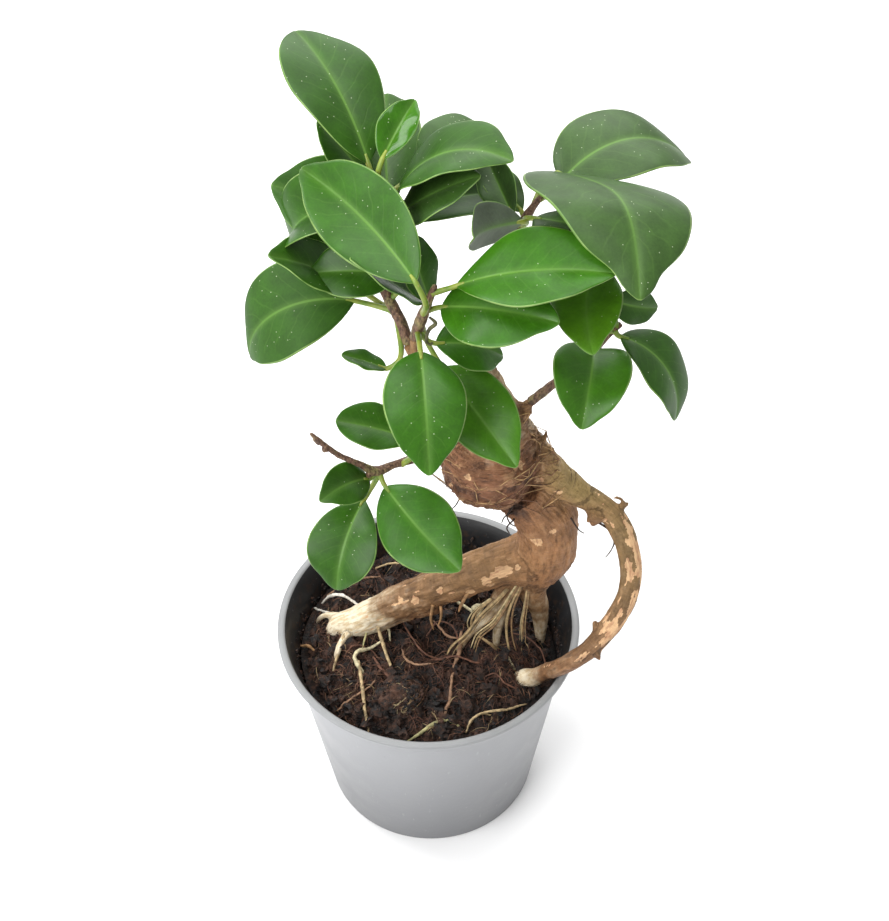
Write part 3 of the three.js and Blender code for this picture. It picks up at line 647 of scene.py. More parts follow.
def start_material(name):
    """An empty material, what adds its nodes, and the object coordinates in metres."""
    material = bpy.data.materials.new(name)
    material.use_nodes = True
    material.node_tree.nodes.clear()
    node = partial(add, material.node_tree)
    return material, node, node("TexCoord", (), "Object")


def finish_material(node, base, relief, depth, sockets):
    """Closes a material with its bump, of a depth in millimetres, its shader and its output."""
    bump = node("Bump", {"Height": relief, "Distance": depth * MM, "Strength": 1})
    surface = node("BsdfPrincipled", {"Base Color": base, "Normal": bump, **sockets})
    node("OutputMaterial", {"Surface": surface}, None)


def shared(name, make):
    """A material made once and used again."""
    return bpy.data.materials.get(name) or make(name)


def moulded_polypropylene(name, tone, dusty):
    """Thermoformed polypropylene sheet: a soft satin gloss with faint mottling, fine scuffs, and some
    dirt from the soil. Painted shade darkens it towards the foot and painted light brightens it near
    the top, and painted shade darkens the outer lip."""
    material, node, place = start_material(name)
    mottle = node("TexNoise", {"Vector": place, "Scale": 1 / (14 * MM), "Detail": 3})
    height = node("SeparateXYZ", (place,), 2)
    mist = node("MapRange", (mottle, 0.3, 0.7, 0.94, 1.05))
    # Painted shade darkens the grey towards the foot and painted light brightens it near the top
    height_light_and_shade = node("MapRange", (height, 0, 85 * MM, 0.64, 1.1))
    mist = node("Math", (mist, height_light_and_shade), operation="MULTIPLY")
    base = node("Mix", {0: 1, 6: tuple(tone), 7: mist}, 2, blend_type="MULTIPLY")
    drawn = node("Mapping", {"Vector": place, "Scale": (1, 1, 0.2)})
    scuffs = node("TexNoise", {"Vector": drawn, "Scale": 1 / (1.1 * MM), "Detail": 4})
    scuffs = node("MapRange", (scuffs, 0.66, 0.74, 0, 0.18))
    base = node("Mix", {0: scuffs, 6: base, 7: linear("#c2c3c5")}, 2)
    grime = node("TexNoise", {"Vector": place, "Scale": 1 / (3.4 * MM), "Detail": 5, "Roughness": 0.7})
    if dusty:
        # Soil sticks to the inner wall, the more the nearer to the soil
        near_soil = node("MapRange", (height, 96 * MM, 74 * MM, 0, 0.16))
        dirt = node("Math", (grime, near_soil), operation="ADD")
        dirt = node("MapRange", (dirt, 0.6, 0.74, 0, 0.85))
        base = node("Mix", {0: dirt, 6: base, 7: linear("#33261d")}, 2)
    else:
        # The outside has a few lone specks of soil and a film of dust, and painted shade darkens its lip
        specks = node("TexVoronoi", {"Vector": place, "Scale": 1 / (6 * MM)}, None)
        lone = node("SeparateColor", (specks.outputs["Color"],))
        lone = node("MapRange", (lone, 0.86, 0.88, 0, 0.7))
        dot = node("MapRange", (specks.outputs["Distance"], 0.1, 0.05))
        dot = node("Math", (dot, lone), operation="MULTIPLY")
        base = node("Mix", {0: dot, 6: base, 7: linear("#3a3026")}, 2)
        dust = node("MapRange", (grime, 0.66, 0.78, 0, 0.25))
        base = node("Mix", {0: dust, 6: base, 7: linear("#6f675e")}, 2)
        # Painted shade on the top of the lip
        lip = node("MapRange", (height, 90.3 * MM, 91.5 * MM, 0, 0.3))
        base = node("Mix", {0: lip, 6: base, 7: linear("#74766f")}, 2)
    satin = node("MapRange", (mottle, 0.3, 0.7, 0.36, 0.48))
    ripples = node("TexNoise", {"Vector": place, "Scale": 1 / (2.4 * MM), "Detail": 3})
    finish_material(node, base, ripples, 0.05, {"Roughness": satin})
    return material


def peat(name, dry, wet_and_shade):
    """Milled peat: dull, dark when damp, with lighter dry crumbs and rust brown plant bits. Painted shade
    darkens its hollows and its right side, and painted light brightens its left side."""
    material, node, place = start_material(name)
    hollow = node("Attribute", (), "Fac", attribute_name="hollow")
    lumps = node("TexNoise", {"Vector": place, "Scale": 1 / (5 * MM), "Detail": 6, "Roughness": 0.65})
    dryness = node("MapRange", (lumps, 0.42, 0.72))
    base = node("Mix", {0: dryness, 6: tuple(wet_and_shade), 7: tuple(dry)}, 2)
    bits = node("TexNoise", {"Vector": place, "Scale": 1 / (1.3 * MM), "Detail": 5, "Roughness": 0.7})
    rust = node("MapRange", (bits, 0.56, 0.68, 0, 0.65))
    base = node("Mix", {0: rust, 6: base, 7: linear("#6f4c3a")}, 2)
    straw = node("MapRange", (bits, 0.68, 0.8, 0, 0.65))
    base = node("Mix", {0: straw, 6: base, 7: linear("#a17d5c")}, 2)
    # Painted shade darkens the hollows of the loose surface
    depth = node("MapRange", (hollow, 0, 1, 0, 0.85))
    base = node("Mix", {0: depth, 6: base, 7: tuple(wet_and_shade)}, 2)
    # Painted light brightens the peat towards the left and painted shade darkens it towards the right,
    # behind the roots
    side = node("SeparateXYZ", (place,), "X")
    side_light_and_shade = node("MapRange", (side, -45 * MM, 35 * MM, 1.4, 0.82))
    base = node("Mix", {0: 1, 6: base, 7: side_light_and_shade}, 2, blend_type="MULTIPLY")
    damp = node("MapRange", (lumps, 0.4, 0.6, 0.62, 0.95))
    finish_material(node, base, bits, 0.8, {"Roughness": damp})
    return material


def root_fibre(name):
    """Dry root fibres and straw: their own tint, mottled, with a dull sheen."""
    material, node, place = start_material(name)
    own = node("Attribute", (), "Color", attribute_name="tint")
    mottle = node("TexNoise", {"Vector": place, "Scale": 1 / (2.2 * MM), "Detail": 4, "Roughness": 0.65})
    mottle = node("MapRange", (mottle, 0.3, 0.72, 0.45, 1.25))
    base = node("Mix", {0: 1, 6: own, 7: mottle}, 2, blend_type="MULTIPLY")
    pores = node("TexNoise", {"Vector": place, "Scale": 1 / (0.7 * MM), "Detail": 3})
    finish_material(node, base, pores, 0.2, {"Roughness": 0.75})
    return material


def thin_bark(name, bark):
    """Thin smooth bark of a young fig: olive and brown, finely cracked along the limb, with pale
    lenticels, scraped scars, red brown fibres on the rootstock and whitish buried ends. Painted shade
    darkens the hollows of its relief and its folds, and the crests are lighter, partly as worn tan and
    partly as painted highlight."""
    material, node, place = start_material(name)
    grain = node("Attribute", (), "Vector", attribute_name="grain")
    read = {key: node("Attribute", (), "Fac", attribute_name=key)
            for key in ("olive", "red", "pale", "scar", "relief", "gloom", "tone")}
    streaks = node("TexNoise", {"Vector": grain, "Scale": 1 / (1.2 * MM), "Detail": 5, "Roughness": 0.6})
    broad = node("TexNoise", {"Vector": place, "Scale": 1 / (7 * MM), "Detail": 3})
    base = node("Mix", {0: read["olive"], 6: tuple(bark.brown), 7: tuple(bark.olive)}, 2)
    base = node("Mix", {0: read["red"], 6: base, 7: tuple(bark.red)}, 2)
    clouds = node("MapRange", (broad, 0.3, 0.7, 0.84, 1.16))
    lines = node("MapRange", (streaks, 0.3, 0.7, 0.84, 1.15))
    drawn = node("Mapping", {"Vector": grain, "Scale": (0.3, 0.3, 5)})
    wrinkles = node("TexNoise", {"Vector": drawn, "Scale": 1 / (1.4 * MM), "Detail": 4})
    rings = node("MapRange", (wrinkles, 0.3, 0.7, 0.86, 1.12))
    shade = node("Math", (clouds, lines), operation="MULTIPLY")
    shade = node("Math", (shade, rings), operation="MULTIPLY")
    # The limb's tone is partly the bark's own colour and partly painted light and shade
    shade = node("Math", (shade, read["tone"]), operation="MULTIPLY")
    base = node("Mix", {0: 1, 6: base, 7: shade}, 2, blend_type="MULTIPLY")
    # Cracks and pits, and the painted shade in the hollows of the relief, are strong on the fibrous
    # rootstock and faint on smooth bark
    torn = node("MapRange", (read["red"], 0, 1, 0.3, 1))
    cracks = node("MapRange", (streaks, 0.42, 0.3, 0, 0.5))
    cracks = node("Math", (cracks, torn), operation="MULTIPLY")
    base = node("Mix", {0: cracks, 6: base, 7: tuple(bark.crack_and_shade)}, 2)
    flecks = node("TexNoise", {"Vector": grain, "Scale": 1 / (0.8 * MM), "Detail": 4, "Roughness": 0.6})
    light = node("MapRange", (flecks, 0.6, 0.72, 0, 0.4))
    base = node("Mix", {0: light, 6: base, 7: linear("#c59c72")}, 2)
    pits = node("TexNoise", {"Vector": grain, "Scale": 1 / (1.7 * MM), "Detail": 5, "Roughness": 0.7})
    pits = node("MapRange", (pits, 0.46, 0.34, 0, 0.7))
    pits = node("Math", (pits, read["red"]), operation="MULTIPLY")
    base = node("Mix", {0: pits, 6: base, 7: tuple(bark.crack_and_shade)}, 2)
    chalk = node("MapRange", (streaks, 0.36, 0.6))
    chalk = node("Mix", {0: chalk, 6: linear("#c4ad87"), 7: tuple(bark.pale)}, 2)
    patchy = node("MapRange", (broad, 0.3, 0.7, -0.2, 0.2))
    patchy = node("Math", (read["pale"], patchy), operation="ADD")
    patchy = node("MapRange", (patchy, 0.15, 0.95))
    base = node("Mix", {0: patchy, 6: base, 7: chalk}, 2)
    ragged = node("MapRange", (flecks, 0.3, 0.7, -0.3, 0.3))
    ragged = node("Math", (read["scar"], ragged), operation="ADD")
    ragged = node("MapRange", (ragged, 0.38, 0.62, 0, 0.9))
    wound = node("MapRange", (streaks, 0.35, 0.6))
    wound = node("Mix", {0: wound, 6: linear("#b98a66"), 7: tuple(bark.scar)}, 2)
    base = node("Mix", {0: ragged, 6: base, 7: wound}, 2)
    # Painted shade darkens the hollows of the relief
    low = node("MapRange", (read["relief"], -0.2, -0.8, 0, 0.65))
    low = node("Math", (low, torn), operation="MULTIPLY")
    base = node("Mix", {0: low, 6: base, 7: tuple(bark.crack_and_shade)}, 2)
    # The crests of the relief are lighter, partly as worn tan and partly as painted highlight
    high = node("MapRange", (read["relief"], 0.2, 0.8, 0, 0.3))
    base = node("Mix", {0: high, 6: base, 7: linear("#bd9369")}, 2)
    # Painted shade darkens the folds under the rootstock and round the foot of the column
    base = node("Mix", {0: read["gloom"], 6: base, 7: tuple(bark.crack_and_shade)}, 2)
    height = node("Math", (flecks, 0.5, streaks), operation="MULTIPLY_ADD")
    height = node("Math", (wrinkles, 0.8, height), operation="MULTIPLY_ADD")
    gloss = node("MapRange", (streaks, 0.3, 0.7, 0.85, 0.6))
    finish_material(node, base, height, 0.5, {"Roughness": gloss})
    return material


def twig_bark(name, tone):
    """Young twig: brown, cracked lengthwise, greener where it is youngest."""
    material, node, place = start_material(name)
    drawn = node("Mapping", {"Vector": place, "Scale": (1, 1, 0.3)})
    cracks = node("TexNoise", {"Vector": drawn, "Scale": 1 / (0.8 * MM), "Detail": 4, "Roughness": 0.6})
    broad = node("TexNoise", {"Vector": place, "Scale": 1 / (6 * MM), "Detail": 2})
    green = node("MapRange", (broad, 0.45, 0.65, 0, 0.7))
    base = node("Mix", {0: green, 6: tuple(tone), 7: linear("#8a8450")}, 2)
    dark = node("MapRange", (cracks, 0.52, 0.4, 0, 0.8))
    base = node("Mix", {0: dark, 6: base, 7: linear("#38261b")}, 2)
    light = node("MapRange", (cracks, 0.58, 0.68, 0, 0.6))
    base = node("Mix", {0: light, 6: base, 7: linear("#b59470")}, 2)
    finish_material(node, base, cracks, 0.35, {"Roughness": 0.7})
    return material


def leaf_stalk(name, tone):
    """Leaf stalk: smooth yellowish green skin with corky flecks."""
    material, node, place = start_material(name)
    broad = node("TexNoise", {"Vector": place, "Scale": 1 / (4 * MM), "Detail": 3})
    green = node("MapRange", (broad, 0.35, 0.7, 0, 0.7))
    base = node("Mix", {0: green, 6: tuple(tone), 7: linear("#4f7a24")}, 2)
    cork = node("TexNoise", {"Vector": place, "Scale": 1 / (1.1 * MM), "Detail": 4})
    cork = node("MapRange", (cork, 0.62, 0.72, 0, 0.6))
    base = node("Mix", {0: cork, 6: base, 7: linear("#a98d5c")}, 2)
    finish_material(node, base, broad, 0.1, {"Roughness": 0.42})
    return material


def leaf_face(name, leaf, upper):
    """Leathery leaf face: waxy gloss above and dull below, with a pale midrib, faint side veins, a pale
    margin and dots of dried water."""
    material, node, place = start_material(name)
    read = {key: node("Attribute", (), "Fac", attribute_name=key) for key in ("half_width", "age", "shine")}
    flat = node("Attribute", (), "Vector", attribute_name="flat")
    spot = node("SeparateXYZ", (node("UVMap", uv_map="blade"),), None)
    row = node("Math", (spot.outputs[0], 2, -1), operation="MULTIPLY_ADD")
    row = node("Math", (row,), operation="ABSOLUTE")
    across = node("Math", (row, read["half_width"]), operation="MULTIPLY")
    rim = node("Math", (read["half_width"], across), operation="SUBTRACT")
    mottle = node("TexNoise", {"Vector": place, "Scale": 1 / (7 * MM), "Detail": 4})
    # Under age 0 the colour turns to young green, partly painted light for light through a thin blade
    share = node("MapRange", (read["age"], -0.5, 0))
    base = node("Mix", {0: share, 6: tuple(leaf.young), 7: tuple(leaf.fresh)}, 2)
    share = node("MapRange", (read["age"], 0, 0.45))
    base = node("Mix", {0: share, 6: base, 7: tuple(leaf.deep)}, 2)
    share = node("MapRange", (read["age"], 0.45, 0.9))
    base = node("Mix", {0: share, 6: base, 7: tuple(leaf.old)}, 2)
    if not upper:
        base = node("Mix", {0: 0.75, 6: base, 7: tuple(leaf.under)}, 2)
    share = node("MapRange", (read["age"], 1, 1.5))
    base = node("Mix", {0: share, 6: base, 7: tuple(leaf.dusk)}, 2)
    clouds = node("MapRange", (mottle, 0.3, 0.7, 0.86, 1.14))
    base = node("Mix", {0: 1, 6: base, 7: clouds}, 2, blend_type="MULTIPLY")
    grain = node("TexNoise", {"Vector": place, "Scale": 1 / (0.9 * MM), "Detail": 2})
    grain = node("MapRange", (grain, 0.3, 0.7, 0.93, 1.07))
    base = node("Mix", {0: 1, 6: base, 7: grain}, 2, blend_type="MULTIPLY")
    # Side veins leave the midrib at a slant and fade before the margin
    sway = node("TexNoise", {"Vector": place, "Scale": 1 / (10 * MM), "Detail": 2})
    slant = node("Math", (row, -2.75, sway), operation="MULTIPLY_ADD")
    phase = node("Math", (spot.outputs[1], 11.25, slant), operation="MULTIPLY_ADD")
    comb = node("Math", (phase, 0.625), operation="PINGPONG")
    side_veins = node("MapRange", (comb, 0.11, 0))
    fading = node("MapRange", (row, 0.9, 0.5))
    side_veins = node("Math", (side_veins, fading), operation="MULTIPLY")
    glow = node("MapRange", (across, 2.6 * MM, 0.2 * MM, 0, 0.2))
    base = node("Mix", {0: glow, 6: base, 7: tuple(leaf.vein)}, 2)
    faint = node("Math", (side_veins, 0.08), operation="MULTIPLY")
    base = node("Mix", {0: faint, 6: base, 7: tuple(leaf.vein)}, 2)
    midrib = node("MapRange", (across, 0.7 * MM, 0.15 * MM))
    fading = node("MapRange", (spot.outputs[1], 0.1, 1, 0.6, 0.12))
    midrib = node("Math", (midrib, fading), operation="MULTIPLY")
    base = node("Mix", {0: midrib, 6: base, 7: tuple(leaf.vein)}, 2)
    edge = node("MapRange", (rim, 0.34 * MM, 0.12 * MM, 0, 0.35))
    base = node("Mix", {0: edge, 6: base, 7: tuple(leaf.margin)}, 2)
    height = node("Math", (side_veins, -0.1, mottle), operation="MULTIPLY_ADD")
    if not upper:
        finish_material(node, base, height, 0.2, {"Roughness": 0.6})
        return material
    # Dots are drawn about 0.5 mm across, a little over their real size, so that they show
    dots = node("TexVoronoi", {"Vector": flat, "Scale": 1 / (2.4 * MM)}, None, voronoi_dimensions="2D")
    chosen = node("SeparateColor", (dots.outputs["Color"],))
    flocks = node("TexNoise", {"Vector": flat, "Scale": 1 / (12 * MM), "Detail": 1})
    flocks = node("MapRange", (flocks, 0.46, 0.7, 0.97, 0.68))
    chosen = node("Math", (chosen, flocks), operation="GREATER_THAN")
    chosen = node("Math", (chosen, 0.6), operation="MULTIPLY")
    dot = node("MapRange", (dots.outputs["Distance"], 0.085, 0.045))
    dot = node("Math", (dot, chosen), operation="MULTIPLY")
    base = node("Mix", {0: dot, 6: base, 7: linear("#cfdcb8")}, 2)
    gloss = node("Math", (read["age"], 0.08, 0.36), operation="MULTIPLY_ADD")
    gloss = node("Math", (read["shine"], -0.24, gloss), operation="MULTIPLY_ADD")
    finish_material(node, base, height, 0.12, {"Roughness": gloss, "IOR": 1.4, "Specular IOR Level": 0.38})
    return material


def leaf_margin(name, tone):
    """The thin cartilage edge of a leaf, a little paler than its faces."""
    material, node, place = start_material(name)
    mottle = node("TexNoise", {"Vector": place, "Scale": 1 / (5 * MM), "Detail": 3})
    share = node("MapRange", (mottle, 0.3, 0.7))
    base = node("Mix", {0: share, 6: tuple(tone), 7: linear("#547a2c")}, 2)
    finish_material(node, base, mottle, 0.05, {"Roughness": 0.45})
    return material


# Pot

# The raised channel under the pot: inner radius, height, slope, and width of the ring outside it
CHANNEL_START = 20
CHANNEL_HEIGHT = 2.5
CHANNEL_SLOPE = 2
FOOT_RING = 5
POT_STEPS = 112
DRILL_SIDES = 24


def pot_profile(pot):
    """The pot's outline as radius and height in millimetres, from the middle of the foot outwards, up
    the outside, over the lip and down the inside."""
    foot, wall, height = pot.foot_radius / MM, pot.wall / MM, pot.height / MM
    lip, lip_width, top = pot.lip_radius / MM, pot.lip_width / MM, pot.wall_top_radius / MM
    collar = (pot.height - pot.collar_height) / MM
    inside = inner_radius(pot, collar)
    start, end, under = CHANNEL_START, foot - FOOT_RING, CHANNEL_HEIGHT
    rise, fall = start + CHANNEL_SLOPE, end - CHANNEL_SLOPE
    return [
        (0, 0), (start, 0), (rise, under), (fall, under), (end, 0), (foot - 1.2, 0), (foot - 0.3, 0.35),
        (foot, 1.2), (top, collar), (top + 0.5, collar + 2.2), (top + 1.6, collar + 4.4),
        (lip - 1.7, height - 2.4), (lip - 1.2, height - 2), (lip - 0.25, height - 1.75),
        (lip, height - 1.1), (lip - 0.15, height - 0.35), (lip - 0.7, height),
        (lip - lip_width + 0.3, height), (lip - lip_width - 0.4, height - 0.5),
        (inside + 1.7, collar + 4.4), (inside + 0.5, collar + 2.2), (inside, collar),
        (inner_radius(pot, 3), 3), (foot - 2.6, wall), (end, wall), (fall, under + wall),
        (rise, under + wall), (start, wall), (0, wall),
    ]


def inner_radius(pot, height):
    """Inside radius of the wall, in millimetres, at a height under the collar."""
    collar = (pot.height - pot.collar_height) / MM
    slope = (pot.wall_top_radius - pot.foot_radius) / MM / (collar - 1)
    return pot.foot_radius / MM + (height - 1) * slope - pot.wall / MM


class BONSAI_OT_pot(bpy.types.Operator):
    """Spins the thin pot from its outline, drills its drains and gives it its two skins"""

    bl_idname = "bonsai.pot"
    bl_label = "Pot"

    def execute(self, context):
        pot = context.scene.bonsai_pot
        profile = pot_profile(pot)
        deselect()
        bpy.ops.mesh.primitive_plane_add(size=MM)
        shell = named("pot_shell")
        bpy.ops.object.mode_set(mode="EDIT")
        bpy.ops.mesh.select_all(action="SELECT")
        bpy.ops.mesh.merge(type="CENTER")
        for (r0, z0), (r1, z1) in zip(profile, profile[1:]):
            step = ((r1 - r0) * MM, 0, (z1 - z0) * MM)
            bpy.ops.mesh.extrude_region_move(TRANSFORM_OT_translate={"value": step})
        bpy.ops.mesh.select_all(action="SELECT")
        bpy.ops.mesh.spin(steps=POT_STEPS, angle=2 * math.pi, center=(0, 0, 0), axis=(0, 0, 1))
        bpy.ops.mesh.select_all(action="SELECT")
        bpy.ops.mesh.remove_doubles(threshold=0.02 * MM)
        bpy.ops.mesh.normals_make_consistent(inside=False)
        bpy.ops.object.mode_set(mode="OBJECT")
        self.drill(shell, pot)
        bpy.context.view_layer.objects.active = shell
        shell.select_set(True)
        shell.data.materials.append(moulded_polypropylene("grey_polypropylene", pot.outside, False))
        shell.data.materials.append(moulded_polypropylene("black_inner_skin", pot.inside, True))
        lip_inside = pot.lip_radius - pot.lip_width - 0.6 * MM
        for face in shell.data.polygons:
            x, y, z = face.center
            radius = math.hypot(x, y)
            inward = (face.normal.x * x + face.normal.y * y) < 0 or face.normal.z > 0.5
            if inward and radius < lip_inside and z > 1 * MM:
                face.material_index = 1
        bpy.ops.object.shade_smooth_by_angle(angle=math.radians(40))
        hand_over(shell, "pot_plastic", "pot")
        return {"FINISHED"}

    def drill(self, shell, pot):
        """Cuts the ring of drain holes through the raised channel of the foot."""
        ring = (CHANNEL_START * MM + pot.foot_radius - FOOT_RING * MM) / 2
        bits = []
        for i in range(pot.drains):
            turn = 2 * math.pi * i / pot.drains
            deselect()
            # Turned by half a facet, so that no edge of the drill runs along an edge of the pot
            bpy.ops.mesh.primitive_cylinder_add(
                vertices=DRILL_SIDES, radius=pot.drain_radius, depth=20 * MM,
                rotation=(0, 0, math.pi / DRILL_SIDES),
                location=(ring * math.cos(turn), ring * math.sin(turn), 0))
            bpy.ops.object.transform_apply()
            bits.append(bpy.context.object)
        cutter = join("drill", bits)
        modify(shell, "BOOLEAN", operation="DIFFERENCE", object=cutter, solver="EXACT")
        bpy.data.objects.remove(cutter)


# Soil

SOIL_SEED = 7
STRAND_SLIMNESS = 0.8
PEBBLE_SHAPES = 12
BED_GRID = 170
BED_FLOOR = 4.2
WALL_TOP = 80
# Fine fibres: tint, and share of their number
FIBRE_TINTS = (("#412a20", 0.38), ("#5f3d2e", 0.38), ("#7f5b45", 0.18), ("#a68e69", 0.06))
# The round clod near the front: x, y, z and radius, how it is flattened, and the crumbs on it
CLOD = (-10, -28.5, 80.2, 9)
CLOD_SHAPE = (1, 0.9, 0.8)
CLOD_CRUMBS = 260
# Fibres round the clod: tint, number, and the range of directions they start in
WHORLS = (("#5f4030", 70, -3.1, 3.1), ("#86664a", 30, -3.1, 3.1), ("#b3a07a", 34, -2.5, -1.1))
# Where the fibres lie matted: x, y and spread
MATS = ((36, -10, 8), (29, -14, 5), (-44, 4, 8), (8, 22, 9), (-24, -2, 7), (-32, -24, 8), (0, -12, 9))


def soil_height(x, y, soil, radius):
    """Height of the soil's surface in millimetres: a mound, clods, and an edge that has shrunk down."""
    out = math.hypot(x, y) / radius
    mound = 2.5 * (1 - out * out)
    clods = 1.3 * math.sin(0.23 * x + 1) * math.sin(0.27 * y - 0.5) + 0.7 * math.sin(0.51 * x + 0.37 * y)
    lump = 4 * math.exp(-(((x + 12) / 9) ** 2) - (((y + 29) / 7) ** 2))
    right = 7 * out**5 * math.exp(-(((y - 8) / 22) ** 2)) if x > 0 else 0
    return soil.top / MM + mound + clods * (1 - min(out, 1) ** 4) + lump - 3 * out**6 - right


def crumbly(x, y):
    """Relief of the loose surface, in millimetres."""
    spot = Vector((x, y, 3.7))
    heap = 3.5 * math.exp(-(((x - 27) / 9) ** 2) - (((y + 12) / 8) ** 2))
    clods = 2.2 * noise.fractal(spot / 6.5, 1.0, 2.0, 3) + 1.2 * abs(noise.noise(spot / 2.6))
    return heap + clods + 0.5 * noise.fractal(spot / 1.8, 1.0, 2.0, 2) - 0.5


def on_clod(turn, rise, reach):
    """A place on the round clod: a turn and a rise from its middle, at a reach of about 1."""
    x, y, z, radius = CLOD
    wide, deep, tall = CLOD_SHAPE
    out = radius * reach * math.cos(rise)
    height = radius * reach * math.sin(rise)
    return Vector((x + wide * out * math.cos(turn), y + deep * out * math.sin(turn), z + tall * height))


class BONSAI_OT_soil(bpy.types.Operator):
    """Fills the pot with peat, with loose crumbs and fine fibres on top"""

    bl_idname = "bonsai.soil"
    bl_label = "Soil"

    def execute(self, context):
        pot = context.scene.bonsai_pot
        soil = context.scene.bonsai_soil
        dice = random.Random(SOIL_SEED)
        top = inner_radius(pot, soil.top / MM - 7) - 0.35
        dark = peat("damp_peat", soil.peat, soil.wet_and_shade)
        bed = self.bed(pot, soil, top)
        bed.data.materials.append(dark)
        hand_over(bed, "soil", "soil")
        crumbs = self.crumbs(pot, soil, top, dice)
        crumbs.data.materials.append(dark)
        hand_over(crumbs, "soil")
        fibres = self.fibres(soil, top, dice)
        fibres.data.materials.append(root_fibre("dry_fibre"))
        hand_over(fibres, "soil")
        return {"FINISHED"}

    def bed(self, pot, soil, top):
        """The body of the soil: a round grid for its loose top, drawn down to the pot's floor."""
        deselect()
        bpy.ops.mesh.primitive_grid_add(x_subdivisions=BED_GRID, y_subdivisions=BED_GRID, size=2)
        bed = named("soil_bed")
        for corner in bed.data.vertices:
            x, y, _ = corner.co
            x, y = top * x * math.sqrt(1 - y * y / 2), top * y * math.sqrt(1 - x * x / 2)
            fade = 1 - smoothstep(0.93, 1, math.hypot(x, y) / top)
            corner.co = Vector((x, y, soil_height(x, y, soil, top) + crumbly(x, y) * fade)) * MM
        bpy.ops.object.mode_set(mode="EDIT")
        bpy.ops.mesh.select_all(action="SELECT")
        bpy.ops.mesh.region_to_loop()
        foot = inner_radius(pot, BED_FLOOR) - 0.5
        bpy.ops.mesh.extrude_region_move()
        bpy.ops.object.mode_set(mode="OBJECT")
        for corner in bed.data.vertices:
            if corner.select:
                flat = Vector((corner.co.x, corner.co.y, 0)).normalized() * foot * MM
                corner.co = (flat.x, flat.y, BED_FLOOR * MM)
        bpy.ops.object.mode_set(mode="EDIT")
        bpy.ops.mesh.edge_face_add()
        bpy.ops.mesh.select_all(action="SELECT")
        bpy.ops.mesh.normals_make_consistent(inside=False)
        bpy.ops.object.mode_set(mode="OBJECT")
        bpy.ops.object.shade_smooth_by_angle(angle=math.radians(60))
        places, _ = corners_of(bed)
        relief = np.array([crumbly(x, y) for x, y, _ in places])
        # How far each place lies in a hollow, for the painted shade that the material lays there
        paint(bed, "hollow", smoothstep(0.2, -1.4, relief))
        return bed

    def crumbs(self, pot, soil, top, dice):
        """Loose crumbs: rough pebbles of a few shapes, each copied many times."""
        shapes = [self.pebble(k, 1 + k % 2) for k in range(PEBBLE_SHAPES)]
        copies = [self.strewn_crumb(shapes, soil, top, dice) for _ in range(soil.crumbs)]
        copies += [self.wall_crumb(shapes, pot, soil, dice) for _ in range(soil.crumbs // 8)]
        copies += [self.clod_crumb(shapes, dice) for _ in range(CLOD_CRUMBS)]
        for shape in shapes:
            bpy.data.objects.remove(shape)
        copies.append(self.clod())
        crumbs = join("soil_crumbs", copies)
        bpy.ops.object.shade_smooth_by_angle(angle=math.radians(35))
        return crumbs

    def crumb(self, shape, transform):
        """A copy of a pebble with its own mesh, in its place."""
        mesh = shape.data.copy()
        mesh.transform(transform)
        copy = bpy.data.objects.new("crumb", mesh)
        bpy.context.scene.collection.objects.link(copy)
        return copy

    def strewn_crumb(self, shapes, soil, top, dice):
        """A crumb anywhere on the soil, now and then a large one."""
        turn, out = dice.uniform(0, 2 * math.pi), math.sqrt(dice.random()) * (top - 2.5)
        x, y = out * math.cos(turn), out * math.sin(turn)
        size = dice.uniform(0.35, 1.1) if dice.random() < 0.88 else dice.uniform(1.1, 3)
        z = soil_height(x, y, soil, top) + crumbly(x, y) + 0.25 * size
        wide, tall = size * dice.uniform(0.7, 1.3), size * dice.uniform(0.5, 0.9)
        squash = Matrix.Diagonal((wide * MM, size * MM, tall * MM, 1))
        spin = Quaternion([dice.gauss(0, 1) for _ in range(4)]).normalized().to_matrix().to_4x4()
        place = Matrix.Translation(Vector((x, y, z)) * MM)
        # Every second pebble has the finer mesh, and the larger crumbs are made from those
        return self.crumb(dice.choice(shapes[size > 0.8::2]), place @ spin @ squash)

    def wall_crumb(self, shapes, pot, soil, dice):
        """A small crumb that sticks to the inner wall."""
        turn = dice.uniform(0, 2 * math.pi)
        height = soil.top / MM - 5 + abs(dice.gauss(0, 4.5))
        out = inner_radius(pot, min(height, WALL_TOP)) - 0.1
        size = dice.uniform(0.25, 0.8)
        place = Matrix.Translation(Vector((out * math.cos(turn), out * math.sin(turn), height)) * MM)
        return self.crumb(dice.choice(shapes[::2]), place @ Matrix.Scale(size * MM, 4))

    def clod_crumb(self, shapes, dice):
        """A crumb on the round clod."""
        turn, rise = dice.uniform(0, 2 * math.pi), dice.uniform(0.1, 1.5)
        place = Matrix.Translation(on_clod(turn, rise, dice.uniform(0.94, 1.1)) * MM)
        shape = dice.choice(shapes[::2])
        return self.crumb(shape, place @ Matrix.Scale(dice.uniform(0.3, 1) * MM, 4))

    def pebble(self, number, smoothness):
        """A rough pebble about one metre in radius."""
        deselect()
        bpy.ops.mesh.primitive_ico_sphere_add(subdivisions=smoothness, radius=1)
        shape = bpy.context.object
        for corner in shape.data.vertices:
            spot = corner.co * 1.9 + Vector((9 * number, 0, 0))
            corner.co *= 1 + 1.1 * noise.fractal(spot, 1.0, 2.0, 3)
        return shape

    def clod(self):
        """The round clod that stands out near the front."""
        deselect()
        bpy.ops.mesh.primitive_ico_sphere_add(subdivisions=5, radius=1)
        clod = bpy.context.object
        places, _ = corners_of(clod)
        unit = places * MM
        bumps = 1 + 0.34 * rough(unit, 0.7) + 0.14 * rough(unit, 0.16)
        set_corners(clod, unit * CLOD_SHAPE * CLOD[3] * bumps[:, None] + CLOD[:3])
        return clod

